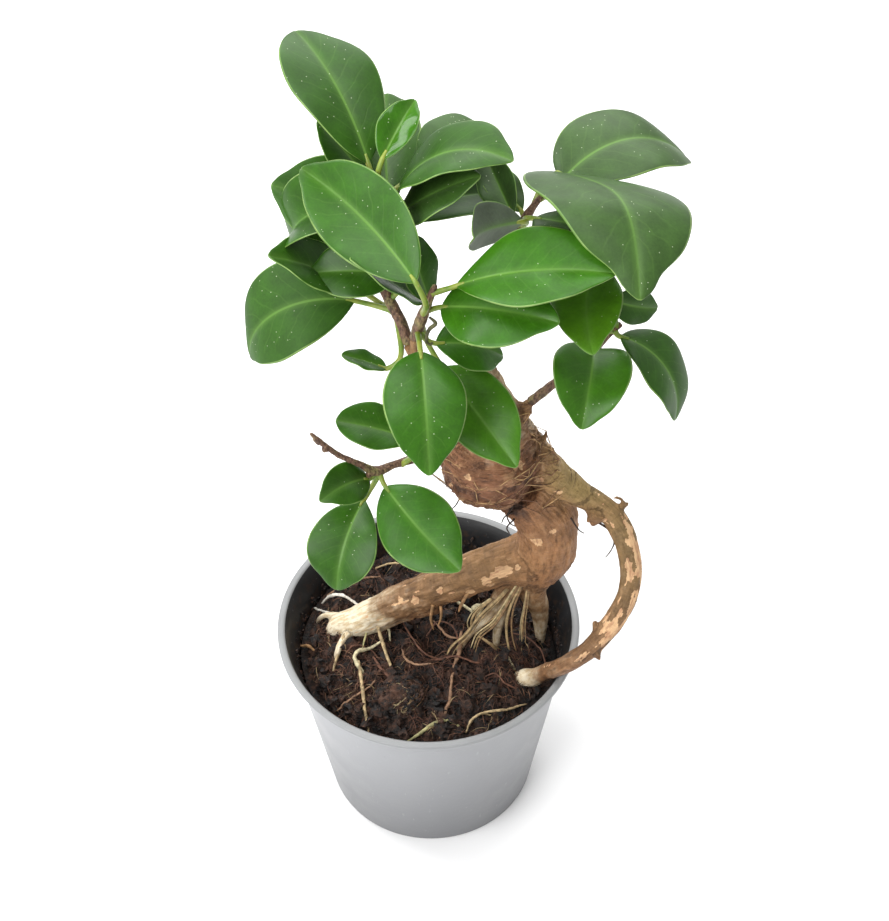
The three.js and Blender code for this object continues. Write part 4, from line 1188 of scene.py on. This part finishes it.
    def fibres(self, soil, top, dice):
        """Fine fibres of the peat, strewn at random, and the single roots that stand out."""
        parts = []
        for code, share in FIBRE_TINTS:
            rods = [self.fibre(soil, top, dice) for _ in range(int(share * soil.fibres))]
            parts.append(tinted_tubes("fibres", rods, 0, 1, code))
        for code, number, first, last in WHORLS:
            rods = [self.whorl(first, last, dice) for _ in range(number)]
            parts.append(tinted_tubes("whorl", rods, 0, 2, code))
        for strand in STRANDS:
            points = [(x, y, soil_height(x, y, soil, top) + lift) for x, y, lift in strand.points]
            radii = [STRAND_SLIMNESS * radius for radius in strand.radii]
            part = tinted_tubes("strand", [(points, radii)], 2, 6, strand.tint)
            places, _ = corners_of(part)
            kinks = np.stack([rough(places + shift, 2.4, 2) for shift in (5, 40, 80)], axis=1)
            set_corners(part, places + 0.35 * kinks)
            parts.append(part)
        return join("soil_fibres", parts)

    def whorl(self, first, last, dice):
        """One fibre that runs round the clod, over a range of its sides."""
        turn, rise, reach = dice.uniform(first, last), dice.uniform(0.15, 1.3), dice.uniform(1, 1.08)
        points = []
        for _ in range(dice.randint(3, 5)):
            points.append(on_clod(turn, rise, reach))
            turn += dice.gauss(0.2, 0.25)
            rise += dice.gauss(0.1, 0.15)
        return points, [0.08, dice.uniform(0.12, 0.24), 0.08]

    def fibre(self, soil, top, dice):
        """One fibre that wanders over the soil and dips into it at both ends."""
        x, y, spread = dice.choice(MATS)
        x, y = dice.gauss(x, spread), dice.gauss(y, spread)
        if math.hypot(x, y) > top - 4 or dice.random() < 0.45:
            turn, out = dice.uniform(0, 2 * math.pi), math.sqrt(dice.random()) * (top - 4)
            x, y = out * math.cos(turn), out * math.sin(turn)
        heading, bend = dice.uniform(0, 2 * math.pi), dice.gauss(0, 0.25)
        count = dice.randint(4, 8)
        stride = dice.uniform(1.2, 2.6)
        crest = dice.uniform(0.8, 3.2)
        points = []
        for i in range(count):
            if math.hypot(x, y) > top - 2:
                break
            lift = crest * math.sin(math.pi * i / (count - 1)) - 0.4 + dice.uniform(-0.3, 0.3)
            points.append((x, y, soil_height(x, y, soil, top) + crumbly(x, y) + lift))
            heading += bend + dice.gauss(0, 0.35)
            x += stride * math.cos(heading)
            y += stride * math.sin(heading)
        if len(points) < 2:
            points.append((points[0][0] * 0.93, points[0][1] * 0.93, points[0][2] + 0.5))
        thick = dice.uniform(0.06, 0.17)
        return points, [0.5 * thick, thick, 0.9 * thick, 0.4 * thick]


# Woody body

# A place down the middle of a limb, with its share of the way, radius, distance from the start, the
# direction ahead and two directions across
Station = namedtuple("Station", "place share radius reach ahead across aside")
BLOCK = 4000


def limb_stations(limb, steps=8):
    """Stations down a limb, whose directions across it turn as little as they can."""
    path = route(limb.points, steps)
    stations = []
    across = None
    reach = 0
    for i, (place, share) in enumerate(path):
        ahead = (path[min(i + 1, len(path) - 1)][0] - path[max(i - 1, 0)][0]).normalized()
        across = ahead.orthogonal() if across is None else across - ahead * across.dot(ahead)
        across.normalize()
        if i:
            reach += (place - path[i - 1][0]).length
        radius = along(limb.radii, share)
        stations.append(Station(place, share, radius, reach, ahead, across.copy(), ahead.cross(across)))
    return stations


def limb_cover(limbs, places):
    """For each place on the surface, the limb that made it, the share of the way along it, and the
    place in that limb's own directions."""
    stations = [(k, station) for k, limb in enumerate(limbs) for station in limb_stations(limb)]
    listed = {
        name: np.array([getattr(station, name) for _, station in stations]) for name in Station._fields
    }
    best = np.empty(len(places), int)
    for start in range(0, len(places), BLOCK):
        block = places[start:start + BLOCK]
        gaps = np.linalg.norm(block[:, None] - listed["place"][None], axis=2)
        best[start:start + BLOCK] = np.abs(gaps - listed["radius"]).argmin(axis=1)
    near = {name: values[best] for name, values in listed.items()}
    which = np.array([k for k, _ in stations])[best]
    away = places - near["place"]
    grain = np.stack([(away * near[way]).sum(1) for way in ("across", "aside", "ahead")], axis=1)
    grain[:, 2] += near["reach"]
    grain[:, 2] *= np.array([limb.grain for limb in limbs])[which]
    grain[:, :2] *= np.array([limb.wrap for limb in limbs])[which][:, None]
    return which, near["share"], grain


# Shreds of bark: tint, number, and least and greatest radius
SHREDS = (("#7d5840", 80, 0.12, 0.3), ("#c39c6c", 90, 0.12, 0.28), ("#4d3426", 40, 0.08, 0.18))
RIDGE_TOP = (24, 5, 218)
RIDGE_FOOT = (60, 3, 163)
# The blunt end of the arched root: a point of it, its direction, and a level direction across it
ARCH_END = Vector((39, -19, 79.8))
ARCH_AHEAD = Vector((-0.72, 0.62, -0.35))
ARCH_LEVEL = Vector((0.65, 0.76, 0))
# Tint, thickness and looseness of the straw coloured coats
STRAW_COATS = (("#b59b70", 0.8, 0.1), ("#8f714f", 0.5, 0.8), ("#cdb98d", 0.4, 0.9), ("#a58a62", 0.35, 1.3))
# Straw coloured roots beside the two pale ones
STRAWS = [
    ([(35, 0, 114), (30, -3.4, 105), (26, -5, 97), (20, -6, 90), (18, -8, 84)], [1, 0.9, 0.8, 0.6, 0.4]),
    ([(36, 0, 114), (32.5, -3, 106), (31, -4.4, 98), (31, -6, 90), (32, -8, 84)],
     [0.9, 0.8, 0.7, 0.6, 0.4]),
    ([(31, 0, 112), (26, -2.6, 107), (20, -4, 100), (15, -6, 92), (9, -8, 86), (7, -9, 82)],
     [0.8, 0.8, 0.7, 0.6, 0.5, 0.3]),
    ([(39, 0, 112), (38, -2.6, 104), (37, -4, 95), (37, -6, 86)], [0.8, 0.6, 0.5, 0.3]),
    ([(25, -1, 107), (19, -1.6, 100), (17, -2, 93), (19, -2, 85)], [0.8, 0.7, 0.6, 0.4]),
    ([(20, -6, 90), (24, -8, 88), (27, -8, 84)], [0.6, 0.5, 0.4]),
]
# Dark hairs, each rooted where its first point comes nearest to the bark
HAIRS = [
    ([(64, -5, 156), (68, -6, 153), (70, -8, 149), (69, -9, 145), (67, -10, 142)], [0.5, 0.4, 0.3, 0.2]),
    ([(56, -2, 155), (57, -4, 151), (59, -4, 149)], [0.4, 0.3, 0.2]),
    ([(33, -5, 166), (30, -7, 163), (31, -8, 160), (33, -7, 157)], [0.4, 0.3, 0.3, 0.2]),
    ([(32, -5, 162), (29, -6, 161), (28, -7, 159)], [0.4, 0.3, 0.2]),
    ([(33, -4, 158), (30, -6, 155), (31, -7, 153)], [0.4, 0.3, 0.2]),
    ([(14, -5, 172), (11, -8, 170), (9, -10, 170), (7, -10, 168.5)], [0.3, 0.25, 0.2, 0.15]),
]
# Ribbons of bark that hang from the left leg
RIBBONS = [
    ([(2, -1, 104), (1, -3, 98), (2, -4, 92)], [0.7, 0.6, 0.3]),
    ([(5, -1, 103), (5, -3, 98), (4, -4, 95)], [0.6, 0.5, 0.3]),
    ([(16, -1, 112), (13, -3, 106), (12, -4, 103)], [0.8, 0.7, 0.3]),
]
ROOTLET_SEED = 11
SPLINTERS = 26
# Where the left leg leaves the column, and how near to it the wood is smoothed fully and not at all
FORK = (37, 4, 124)
FORK_CORE = 8
FORK_RIM = 18
# Folds under the rootstock and round the foot of the column, darkened with painted shade: x, y, z and
# radius
FOLDS = ((36, -7, 184, 4), (33, -4, 163, 5), (30, -6, 166, 4), (24, 2, 160, 5))
# The side of the roots that is scraped
OUTER_SIDE = np.array([0.75, -0.55, 0.35])


def on_bark(tree, aims, dice):
    """The places on the bark nearest to the aims, a little in or out at random."""
    points = []
    for aim in aims:
        place, normal, _, _ = tree.find_nearest(Vector(aim) * MM)
        points.append(tuple(place / MM + normal * dice.uniform(-0.15, 0.22)))
    return points


def marked(places, marks, core, rim):
    """How deep each place lies in the marks, listed as x, y, z and size: 1 in a core, 0 past a rim."""
    depth = np.zeros(len(places))
    for x, y, z, size in marks:
        gap = np.linalg.norm(places - (x, y, z), axis=1)
        depth = np.maximum(depth, 1 - smoothstep(core * size, rim * size, gap))
    return depth


class BONSAI_OT_woody_body(bpy.types.Operator):
    """Grows roots, rootstock, column and neck together and weathers their bark"""

    bl_idname = "bonsai.woody_body"
    bl_label = "Woody Body"

    def execute(self, context):
        bark = context.scene.bonsai_bark
        limbs = ROOTS + WOOD + GROWTHS
        body = tubes("woody_body", [(limb.points, limb.radii) for limb in limbs], 6, 6)
        modify(body, "REMESH", mode="VOXEL", voxel_size=bark.voxel, use_smooth_shade=True)
        modify(body, "SMOOTH", factor=0.5, iterations=8)
        self.weather(body, limbs, bark)
        body.data.materials.append(thin_bark("thin_fig_bark", bark))
        hand_over(body, "bark", "trunk")
        rootlets = self.rootlets(body)
        rootlets.data.materials.append(root_fibre("dry_rootlet"))
        hand_over(rootlets, "bark")
        return {"FINISHED"}

    def smooth_fork(self, body):
        """Lets the left leg flow into the foot of the column."""
        places, _ = corners_of(body)
        near = 1 - smoothstep(FORK_CORE, FORK_RIM, np.linalg.norm(places - FORK, axis=1))
        for axis in range(3):
            places[:, axis] += near * (soften(body, places[:, axis], 90) - places[:, axis])
        set_corners(body, places)

    def weather(self, body, limbs, bark):
        """Raises the bark's relief and stores what its material reads."""
        self.smooth_fork(body)
        places, normals = corners_of(body)
        which, share, grain = limb_cover(limbs, places)

        def listed(key):
            return np.array([along(getattr(limbs[k], key), u) for k, u in zip(which, share)], float)

        looks = {key: soften(body, listed(key), 180) for key in ("olive", "red", "pale", "tone")}
        ragged = places + 0.9 * np.stack([rough(places + shift, 1.6, 2) for shift in (0, 31, 67)], axis=1)
        bare = listed("scraped")
        outer = smoothstep(-0.3, 0.7, normals @ OUTER_SIDE)
        flakes = smoothstep(0.5, 0.58, 0.8 * bare * outer + 0.8 * rough(grain + 50, 2.4))
        flakes *= smoothstep(0.05, 0.2, bare)
        scar = np.maximum(marked(ragged, SCARS, 0.6, 1.15), flakes)
        fine, coarse, lumps = rough(grain, 1.5), rough(grain, 4.5), rough(places, 9, 2)
        fibrous = looks["red"]
        relief = (0.25 + 0.95 * fibrous) * fine * 0.9 + (0.35 + 0.65 * fibrous) * coarse + 0.5 * lumps
        # Scars are smoother than the bark round them and lie a little lower
        relief = relief * (1 - 0.7 * scar) - 0.35 * scar
        # The shaded undersides keep a redder skin
        under = soften(body, smoothstep(0.2, -0.8, normals[:, 2]), 40)
        looks["red"] = np.clip(looks["red"] + 0.35 * under * (1 - looks["pale"]), 0, 1)
        # Thin limbs are smoother than thick ones
        depth = bark.relief / MM * np.clip(listed("radii") / 8, 0.12, 1)
        set_corners(body, places + normals * (relief * depth)[:, None])
        paint(body, "relief", relief)
        paint(body, "scar", scar)
        # Painted shade for the folds
        paint(body, "gloom", 0.75 * marked(ragged, FOLDS, 0.3, 1.1))
        for key, values in looks.items():
            paint(body, key, values)
        vectors = body.data.attributes.new("grain", "FLOAT_VECTOR", "POINT")
        vectors.data.foreach_set("vector", (grain * MM).ravel())

    def rootlets(self, body):
        """Dry hair roots, shreds of bark on the rootstock and the hooked hairs of the arched root."""
        dice = random.Random(ROOTLET_SEED)
        tree = BVHTree.FromObject(body, bpy.context.evaluated_depsgraph_get())
        parts = []
        for code, count, low, high in SHREDS:
            rods = [self.shred(tree, self.round_bulb(dice), low, high, dice) for _ in range(count)]
            rods += [self.shred(tree, self.down_ridge(dice), low, high, dice) for _ in range(count // 5)]
            parts.append(tinted_tubes("shreds", rods, 0, 2, code))
        hairs = [(on_bark(tree, points[:1], dice) + points[1:], radii) for points, radii in HAIRS]
        parts.append(tinted_tubes("hairs", hairs, 1, 5, "#3a2a20"))
        parts.append(tinted_tubes("ribbons", RIBBONS, 1, 5, AMBER))
        for code, swell, drift in STRAW_COATS:
            coat = [self.straw(points, radii, swell, drift, dice) for points, radii in STRAWS]
            parts.append(tinted_tubes("straws", coat, 2, 5, code))
        parts.append(tinted_tubes("frayed_end", self.frayed_end(dice), 1, 3, "#a79d8e"))
        return join("rootlets", parts)

    def round_bulb(self, dice):
        """Aims of a shred that runs some way round the rootstock."""
        turn, height = dice.uniform(0, 2 * math.pi), dice.uniform(166, 197)
        heading = dice.choice((-1, 1))
        aims = []
        for _ in range(dice.randint(3, 5)):
            aims.append((24 + 30 * math.cos(turn), 5 + 30 * math.sin(turn), height))
            turn += heading * dice.uniform(0.04, 0.12)
            height += dice.gauss(-0.2, 0.6)
        return aims

    def down_ridge(self, dice):
        """Aims of a shred that runs down the ridge."""
        share, sideways = dice.uniform(0.1, 0.6), dice.uniform(-8, -1)
        aims = []
        for _ in range(3):
            middle = Vector(RIDGE_TOP).lerp(Vector(RIDGE_FOOT), share)
            aims.append(middle + Vector((6, sideways, 6)))
            share += dice.uniform(0.015, 0.03)
            sideways += dice.gauss(0, 0.4)
        return aims

    def shred(self, tree, aims, low, high, dice):
        """A thin shred that lies on the bark."""
        thick = dice.uniform(low, high)
        return on_bark(tree, aims, dice), [0.3 * thick, thick, 0.4 * thick]

    def straw(self, points, radii, swell, drift, dice):
        """A straw coloured root that strays further from its place towards its end."""
        shift = Vector((dice.gauss(0, drift), dice.gauss(0, drift), dice.gauss(0, drift)))
        line = [Vector(point) + shift * (0.4 + i / len(points)) for i, point in enumerate(points)]
        return line, [swell * radius for radius in radii]

    def frayed_end(self, dice):
        """Short grey splinters round the blunt end of the arched root."""
        rods = []
        for _ in range(SPLINTERS):
            turn, out = dice.uniform(0, 2 * math.pi), dice.uniform(2.2, 3.6)
            start = ARCH_END + ARCH_LEVEL * (out * math.cos(turn))
            start.z += 0.9 * out * math.sin(turn)
            ahead = ARCH_AHEAD * dice.uniform(1.5, 3.4) + Vector((0, 0, dice.uniform(-0.8, 0.5)))
            rods.append(([start, start + ahead * 0.6, start + ahead], [dice.uniform(0.3, 0.7), 0.5, 0.2]))
        return rods


# Leaves

BLADE_ROWS = 10
BLADE_STEPS = 24
# Least half width of a blade at its base and tip
BLADE_BASE_HALF = 0.9
BLADE_TIP_HALF = 0.45
FOLD_SOFTNESS = 0.15
TIP_ROUNDNESS = 0.05
# Where a blade narrows before its tip, and over what share of its length
NIB_PLACE = 0.89
NIB_SPREAD = 0.06
# How wide a crest is, and what share of the droop is spread evenly all the same
CREST_SPREAD = 0.16
CREST_EVEN = 0.3


def outline_at(share, leaf):
    """Half the blade's width at a share of its length, as a part of its widest."""
    power = math.log(0.5) / math.log(leaf.belly)
    body = math.sin(math.pi * share**power) ** leaf.blunt if 0 < share < 1 else 0
    return body * (1 - leaf.nib * math.exp(-(((share - NIB_PLACE) / NIB_SPREAD) ** 2)))


def droop_share(share, crest):
    """How much of the droop lies at a share of the length."""
    if crest is None:
        return 1
    bump = math.exp(-(((share - crest) / CREST_SPREAD) ** 2)) / (CREST_SPREAD * math.sqrt(math.pi))
    return CREST_EVEN + (1 - CREST_EVEN) * bump


def leaf_ahead(leaf):
    """The direction in which the blade sets out."""
    turn, rise = math.radians(leaf.heading), math.radians(leaf.climb)
    return Vector((math.cos(rise) * math.cos(turn), math.cos(rise) * math.sin(turn), math.sin(rise)))


def blade_stations(leaf):
    """Steps along the midrib, each with its place, the directions sideways and up, and half its width."""
    turn = math.radians(leaf.heading)
    ahead = leaf_ahead(leaf)
    side = Vector((math.sin(turn), -math.cos(turn), 0))
    upper = side.cross(ahead)
    roll = Quaternion(ahead, -math.radians(leaf.roll))
    side.rotate(roll)
    upper.rotate(roll)
    place = Vector(leaf.base)
    stations = []
    for i in range(BLADE_STEPS + 1):
        share = i / BLADE_STEPS
        least = BLADE_BASE_HALF + (BLADE_TIP_HALF - BLADE_BASE_HALF) * share
        blunt_tip = TIP_ROUNDNESS * leaf.width * math.sqrt(1 - share**16)
        opening = min(blunt_tip, BLADE_BASE_HALF + 8 * share)
        half = max(least, 0.5 * leaf.width * outline_at(share, leaf), opening)
        stations.append((place.copy(), side.copy(), upper.copy(), half))
        bend = Quaternion(side, -math.radians(leaf.droop * droop_share(share, leaf.crest)) / BLADE_STEPS)
        ahead.rotate(bend)
        upper.rotate(bend)
        sweep = Quaternion(upper, -math.radians(leaf.sweep) / BLADE_STEPS)
        ahead.rotate(sweep)
        side.rotate(sweep)
        twist = Quaternion(ahead, -math.radians(leaf.twist) / BLADE_STEPS)
        side.rotate(twist)
        upper.rotate(twist)
        place += ahead * (leaf.length / BLADE_STEPS)
    return stations


def blade(leaf):
    """A leaf blade, shaped from a flat grid."""
    deselect()
    bpy.ops.mesh.primitive_grid_add(x_subdivisions=BLADE_ROWS, y_subdivisions=BLADE_STEPS, size=2)
    piece = bpy.context.object
    mesh = piece.data
    stations = blade_stations(leaf)
    lift = math.radians(leaf.fold)
    phase = leaf.heading * 0.37 + leaf.length
    widths = np.empty(len(mesh.vertices))
    flat = np.empty((len(mesh.vertices), 3))
    spots = []
    for corner in mesh.vertices:
        share = (corner.co.y + 1) / 2
        row = math.copysign(abs(corner.co.x) ** 1.5, corner.co.x)
        place, side, upper, half = stations[round(share * BLADE_STEPS)]
        soft = math.sqrt(row * row + FOLD_SOFTNESS**2) - FOLD_SOFTNESS
        rise = half * math.sin(lift) * soft / (math.sqrt(1 + FOLD_SOFTNESS**2) - FOLD_SOFTNESS)
        # Each half bulges, the midrib lies in a groove, and the margins wave
        crown = 0.045 * half * 4 * abs(row) * (1 - abs(row))
        groove = -0.2 * math.exp(-((row * half / 0.8) ** 2)) * min(1, half / 4)
        wave = 0.5 * row * row * math.sin(2 * math.pi * (2.2 * share + phase) + (2 if row > 0 else 0))
        wave *= min(1, half / 6)
        high = rise + crown + groove + wave
        corner.co = (place + side * (row * half * math.cos(lift)) + upper * high) * MM
        widths[corner.index] = half * MM
        flat[corner.index] = (row * half * MM + phase, share * leaf.length * MM + phase, 0)
        spots.append((0.5 + row / 2, share))
    uv = mesh.uv_layers[0]
    uv.name = "blade"
    for loop in mesh.loops:
        uv.data[loop.index].uv = spots[loop.vertex_index]
    paint(piece, "half_width", widths)
    vectors = mesh.attributes.new("flat", "FLOAT_VECTOR", "POINT")
    vectors.data.foreach_set("vector", flat.ravel())
    paint(piece, "age", leaf.age)
    paint(piece, "shine", leaf.shine)
    return piece


def stalk(leaf):
    """The stalk's points and radii. It leaves its stem and runs into the start of the midrib."""
    ahead = leaf_ahead(leaf)
    start, base = Vector(leaf.start), Vector(leaf.base)
    bend = base - ahead * (0.4 * (base - start).length)
    middle = start * 0.25 + bend * 0.5 + base * 0.25
    return [start, middle, base, base + ahead * 3], [1.15, 0.95, 0.9, 0.5]


class LeafyShoot:
    """Builds one leafy stem: its twig, stalks and blades."""

    def shoot(self, context, name, node, stems, leaves):
        settings = context.scene.bonsai_leaf
        twig = tubes("twig", [(limb.points, limb.radii) for limb in stems], 4, 8)
        places, normals = corners_of(twig)
        set_corners(twig, places + normals * (0.22 * rough(places, 2.4))[:, None])
        twig.data.materials.append(shared("young_twig", lambda key: twig_bark(key, settings.twig)))
        stalks = tubes("stalks", [stalk(leaf) for leaf in leaves], 3, 6)
        stalks.data.materials.append(shared("green_stalk", lambda key: leaf_stalk(key, settings.stalk)))
        blades = join("blades", [blade(leaf) for leaf in leaves])
        blades.data.materials.append(shared("waxy_leaf_upper", lambda key: leaf_face(key, settings, True)))
        blades.data.materials.append(shared("dull_leaf_under", lambda key: leaf_face(key, settings, False)))
        blades.data.materials.append(shared("leaf_margin", lambda key: leaf_margin(key, settings.margin)))
        finishes = {"material_offset": 1, "material_offset_rim": 2}
        modify(blades, "SOLIDIFY", thickness=settings.thickness, offset=0, **finishes)
        modify(blades, "SUBSURF", levels=1, render_levels=1)
        bpy.ops.object.shade_smooth()
        shoot = join(name, [blades, stalks, twig])
        hand_over(shoot, "leaf", node)
        return {"FINISHED"}


class BONSAI_OT_crown_shoot(LeafyShoot, bpy.types.Operator):
    """Leafy stem at the upper left"""

    bl_idname = "bonsai.crown_shoot"
    bl_label = "Crown Shoot"

    def execute(self, context):
        return self.shoot(context, "crown_foliage", "crown_shoot", CROWN_STEM, CROWN_LEAVES)


class BONSAI_OT_front_shoot(LeafyShoot, bpy.types.Operator):
    """Leafy stem in front, with the hanging leaves and a curled dry tendril"""

    bl_idname = "bonsai.front_shoot"
    bl_label = "Front Shoot"

    def execute(self, context):
        done = self.shoot(context, "front_foliage", "front_shoot", FRONT_STEM, FRONT_LEAVES)
        tendril = tinted_tubes("dry_tendril", [TENDRIL], 2, 6, "#5b5a3a")
        tendril.data.materials.append(root_fibre("dry_sheath"))
        hand_over(tendril, "leaf")
        return done


class BONSAI_OT_back_shoot(LeafyShoot, bpy.types.Operator):
    """Leafy stem behind and to the right, with the largest leaf"""

    bl_idname = "bonsai.back_shoot"
    bl_label = "Back Shoot"

    def execute(self, context):
        return self.shoot(context, "back_foliage", "back_shoot", BACK_STEM, BACK_LEAVES)


class BONSAI_OT_right_shoot(LeafyShoot, bpy.types.Operator):
    """Low leafy stem at the right"""

    bl_idname = "bonsai.right_shoot"
    bl_label = "Right Shoot"

    def execute(self, context):
        return self.shoot(context, "right_foliage", "right_shoot", RIGHT_STEM, RIGHT_LEAVES)


class BONSAI_OT_left_shoot(LeafyShoot, bpy.types.Operator):
    """Low knotty twig at the left with its leaves and dead tip"""

    bl_idname = "bonsai.left_shoot"
    bl_label = "Left Shoot"

    def execute(self, context):
        return self.shoot(context, "left_foliage", "left_shoot", LEFT_STEM, LEFT_LEAVES)


# Stage

# Soft lights: name, place and width in metres, and power in watts. They face one point of the plant.
LIGHTS = (
    ("key", (-0.75, -0.65, 0.95), 0.9, 15.2),
    ("back", (0.1, 1.1, 1.0), 1.2, 11),
    ("top", (0.15, 0.1, 1.6), 0.9, 12),
    ("window", (-0.75, 0.45, 0.95), 0.5, 6),
)
LIGHT_AIM = Vector((0.01, 0, 0.17))
WORLD_LIGHT = 0.6
# What the camera aims at, right and up from the origin in its own picture
AIM_RIGHT = 5.5
AIM_UP = 126.7


class BONSAI_OT_stage(bpy.types.Operator):
    """Lays the pale floor, hangs the soft lights and sets the camera at the photograph's angle"""

    bl_idname = "bonsai.stage"
    bl_label = "Stage"

    def execute(self, context):
        stage = context.scene.bonsai_stage
        deselect()
        bpy.ops.mesh.primitive_plane_add(size=8)
        floor = named("floor")
        material, node, place = start_material("pale_floor")
        mottle = node("TexNoise", {"Vector": place, "Scale": 1 / (60 * MM), "Detail": 2})
        share = node("MapRange", (mottle, 0.3, 0.7))
        base = node("Mix", {0: share, 6: tuple(stage.floor), 7: linear("#f1f1f1")}, 2)
        finish_material(node, base, mottle, 0.02, {"Roughness": 0.9})
        floor.data.materials.append(material)
        for settings in LIGHTS:
            self.light(*settings)
        world = context.scene.world or bpy.data.worlds.new("studio")
        context.scene.world = world
        world.use_nodes = True
        background = world.node_tree.nodes.get("Background")
        background.inputs[0].default_value = (1, 1, 1, 1)
        background.inputs[1].default_value = WORLD_LIGHT
        context.scene.view_settings.view_transform = "Standard"
        context.scene.view_settings.look = "None"
        self.camera(context, stage)
        return {"FINISHED"}

    def light(self, name, place, size, power):
        """A square soft light that faces the plant."""
        bpy.ops.object.light_add(type="AREA", location=place)
        lamp = bpy.context.object
        lamp.name = name
        lamp.data.size = size
        lamp.data.energy = power
        lamp.rotation_euler = (LIGHT_AIM - Vector(place)).to_track_quat("-Z", "Y").to_euler()

    def camera(self, context, stage):
        """A camera that looks down at the plant as the photograph does."""
        rise, roll = stage.elevation, stage.roll
        back = Vector((0, -math.cos(rise), math.sin(rise)))
        level, up = Vector((1, 0, 0)), Vector((0, math.sin(rise), math.cos(rise)))
        right = level * math.cos(roll) + up * math.sin(roll)
        top = up * math.cos(roll) - level * math.sin(roll)
        place = right * (AIM_RIGHT * MM) + top * (AIM_UP * MM) + back * stage.distance
        bpy.ops.object.camera_add()
        camera = bpy.context.object
        camera.data.lens = stage.lens
        camera.data.sensor_width = 36
        camera.data.clip_start = 0.01
        turn = Matrix((right, top, back)).transposed().to_4x4()
        camera.matrix_world = Matrix.Translation(place) @ turn
        context.scene.camera = camera


OPERATORS = (
    BONSAI_OT_pot,
    BONSAI_OT_soil,
    BONSAI_OT_woody_body,
    BONSAI_OT_crown_shoot,
    BONSAI_OT_front_shoot,
    BONSAI_OT_back_shoot,
    BONSAI_OT_right_shoot,
    BONSAI_OT_left_shoot,
    BONSAI_OT_stage,
)
SETTINGS = {
    "bonsai_pot": PotSettings,
    "bonsai_soil": SoilSettings,
    "bonsai_bark": BarkSettings,
    "bonsai_leaf": LeafSettings,
    "bonsai_stage": StageSettings,
}


class BONSAI_PT_panel(bpy.types.Panel):
    """Lists the settings and the steps"""

    bl_idname = "BONSAI_PT_panel"
    bl_label = "Potted Banyan"
    bl_space_type = "VIEW_3D"
    bl_region_type = "UI"
    bl_category = "Bonsai"

    def draw(self, context):
        for key, group in SETTINGS.items():
            box = self.layout.box()
            for name in group.__annotations__:
                box.prop(getattr(context.scene, key), name)
        for operator in OPERATORS:
            self.layout.operator(operator.bl_idname)


def register():
    """Registers the settings, the steps and the panel."""
    for group in SETTINGS.values():
        bpy.utils.register_class(group)
    for operator in OPERATORS:
        bpy.utils.register_class(operator)
    bpy.utils.register_class(BONSAI_PT_panel)
    for key, group in SETTINGS.items():
        setattr(bpy.types.Scene, key, PointerProperty(type=group))


def unregister():
    """Takes the settings, the steps and the panel away again."""
    for key in SETTINGS:
        delattr(bpy.types.Scene, key)
    bpy.utils.unregister_class(BONSAI_PT_panel)
    for operator in reversed(OPERATORS):
        bpy.utils.unregister_class(operator)
    for group in reversed(SETTINGS.values()):
        bpy.utils.unregister_class(group)


def main():
    """Builds everything in order."""
    register()
    bpy.ops.bonsai.pot()
    bpy.ops.bonsai.soil()
    bpy.ops.bonsai.woody_body()
    bpy.ops.bonsai.crown_shoot()
    bpy.ops.bonsai.front_shoot()
    bpy.ops.bonsai.back_shoot()
    bpy.ops.bonsai.right_shoot()
    bpy.ops.bonsai.left_shoot()
    bpy.ops.bonsai.stage()


if __name__ == "__main__":
    main()
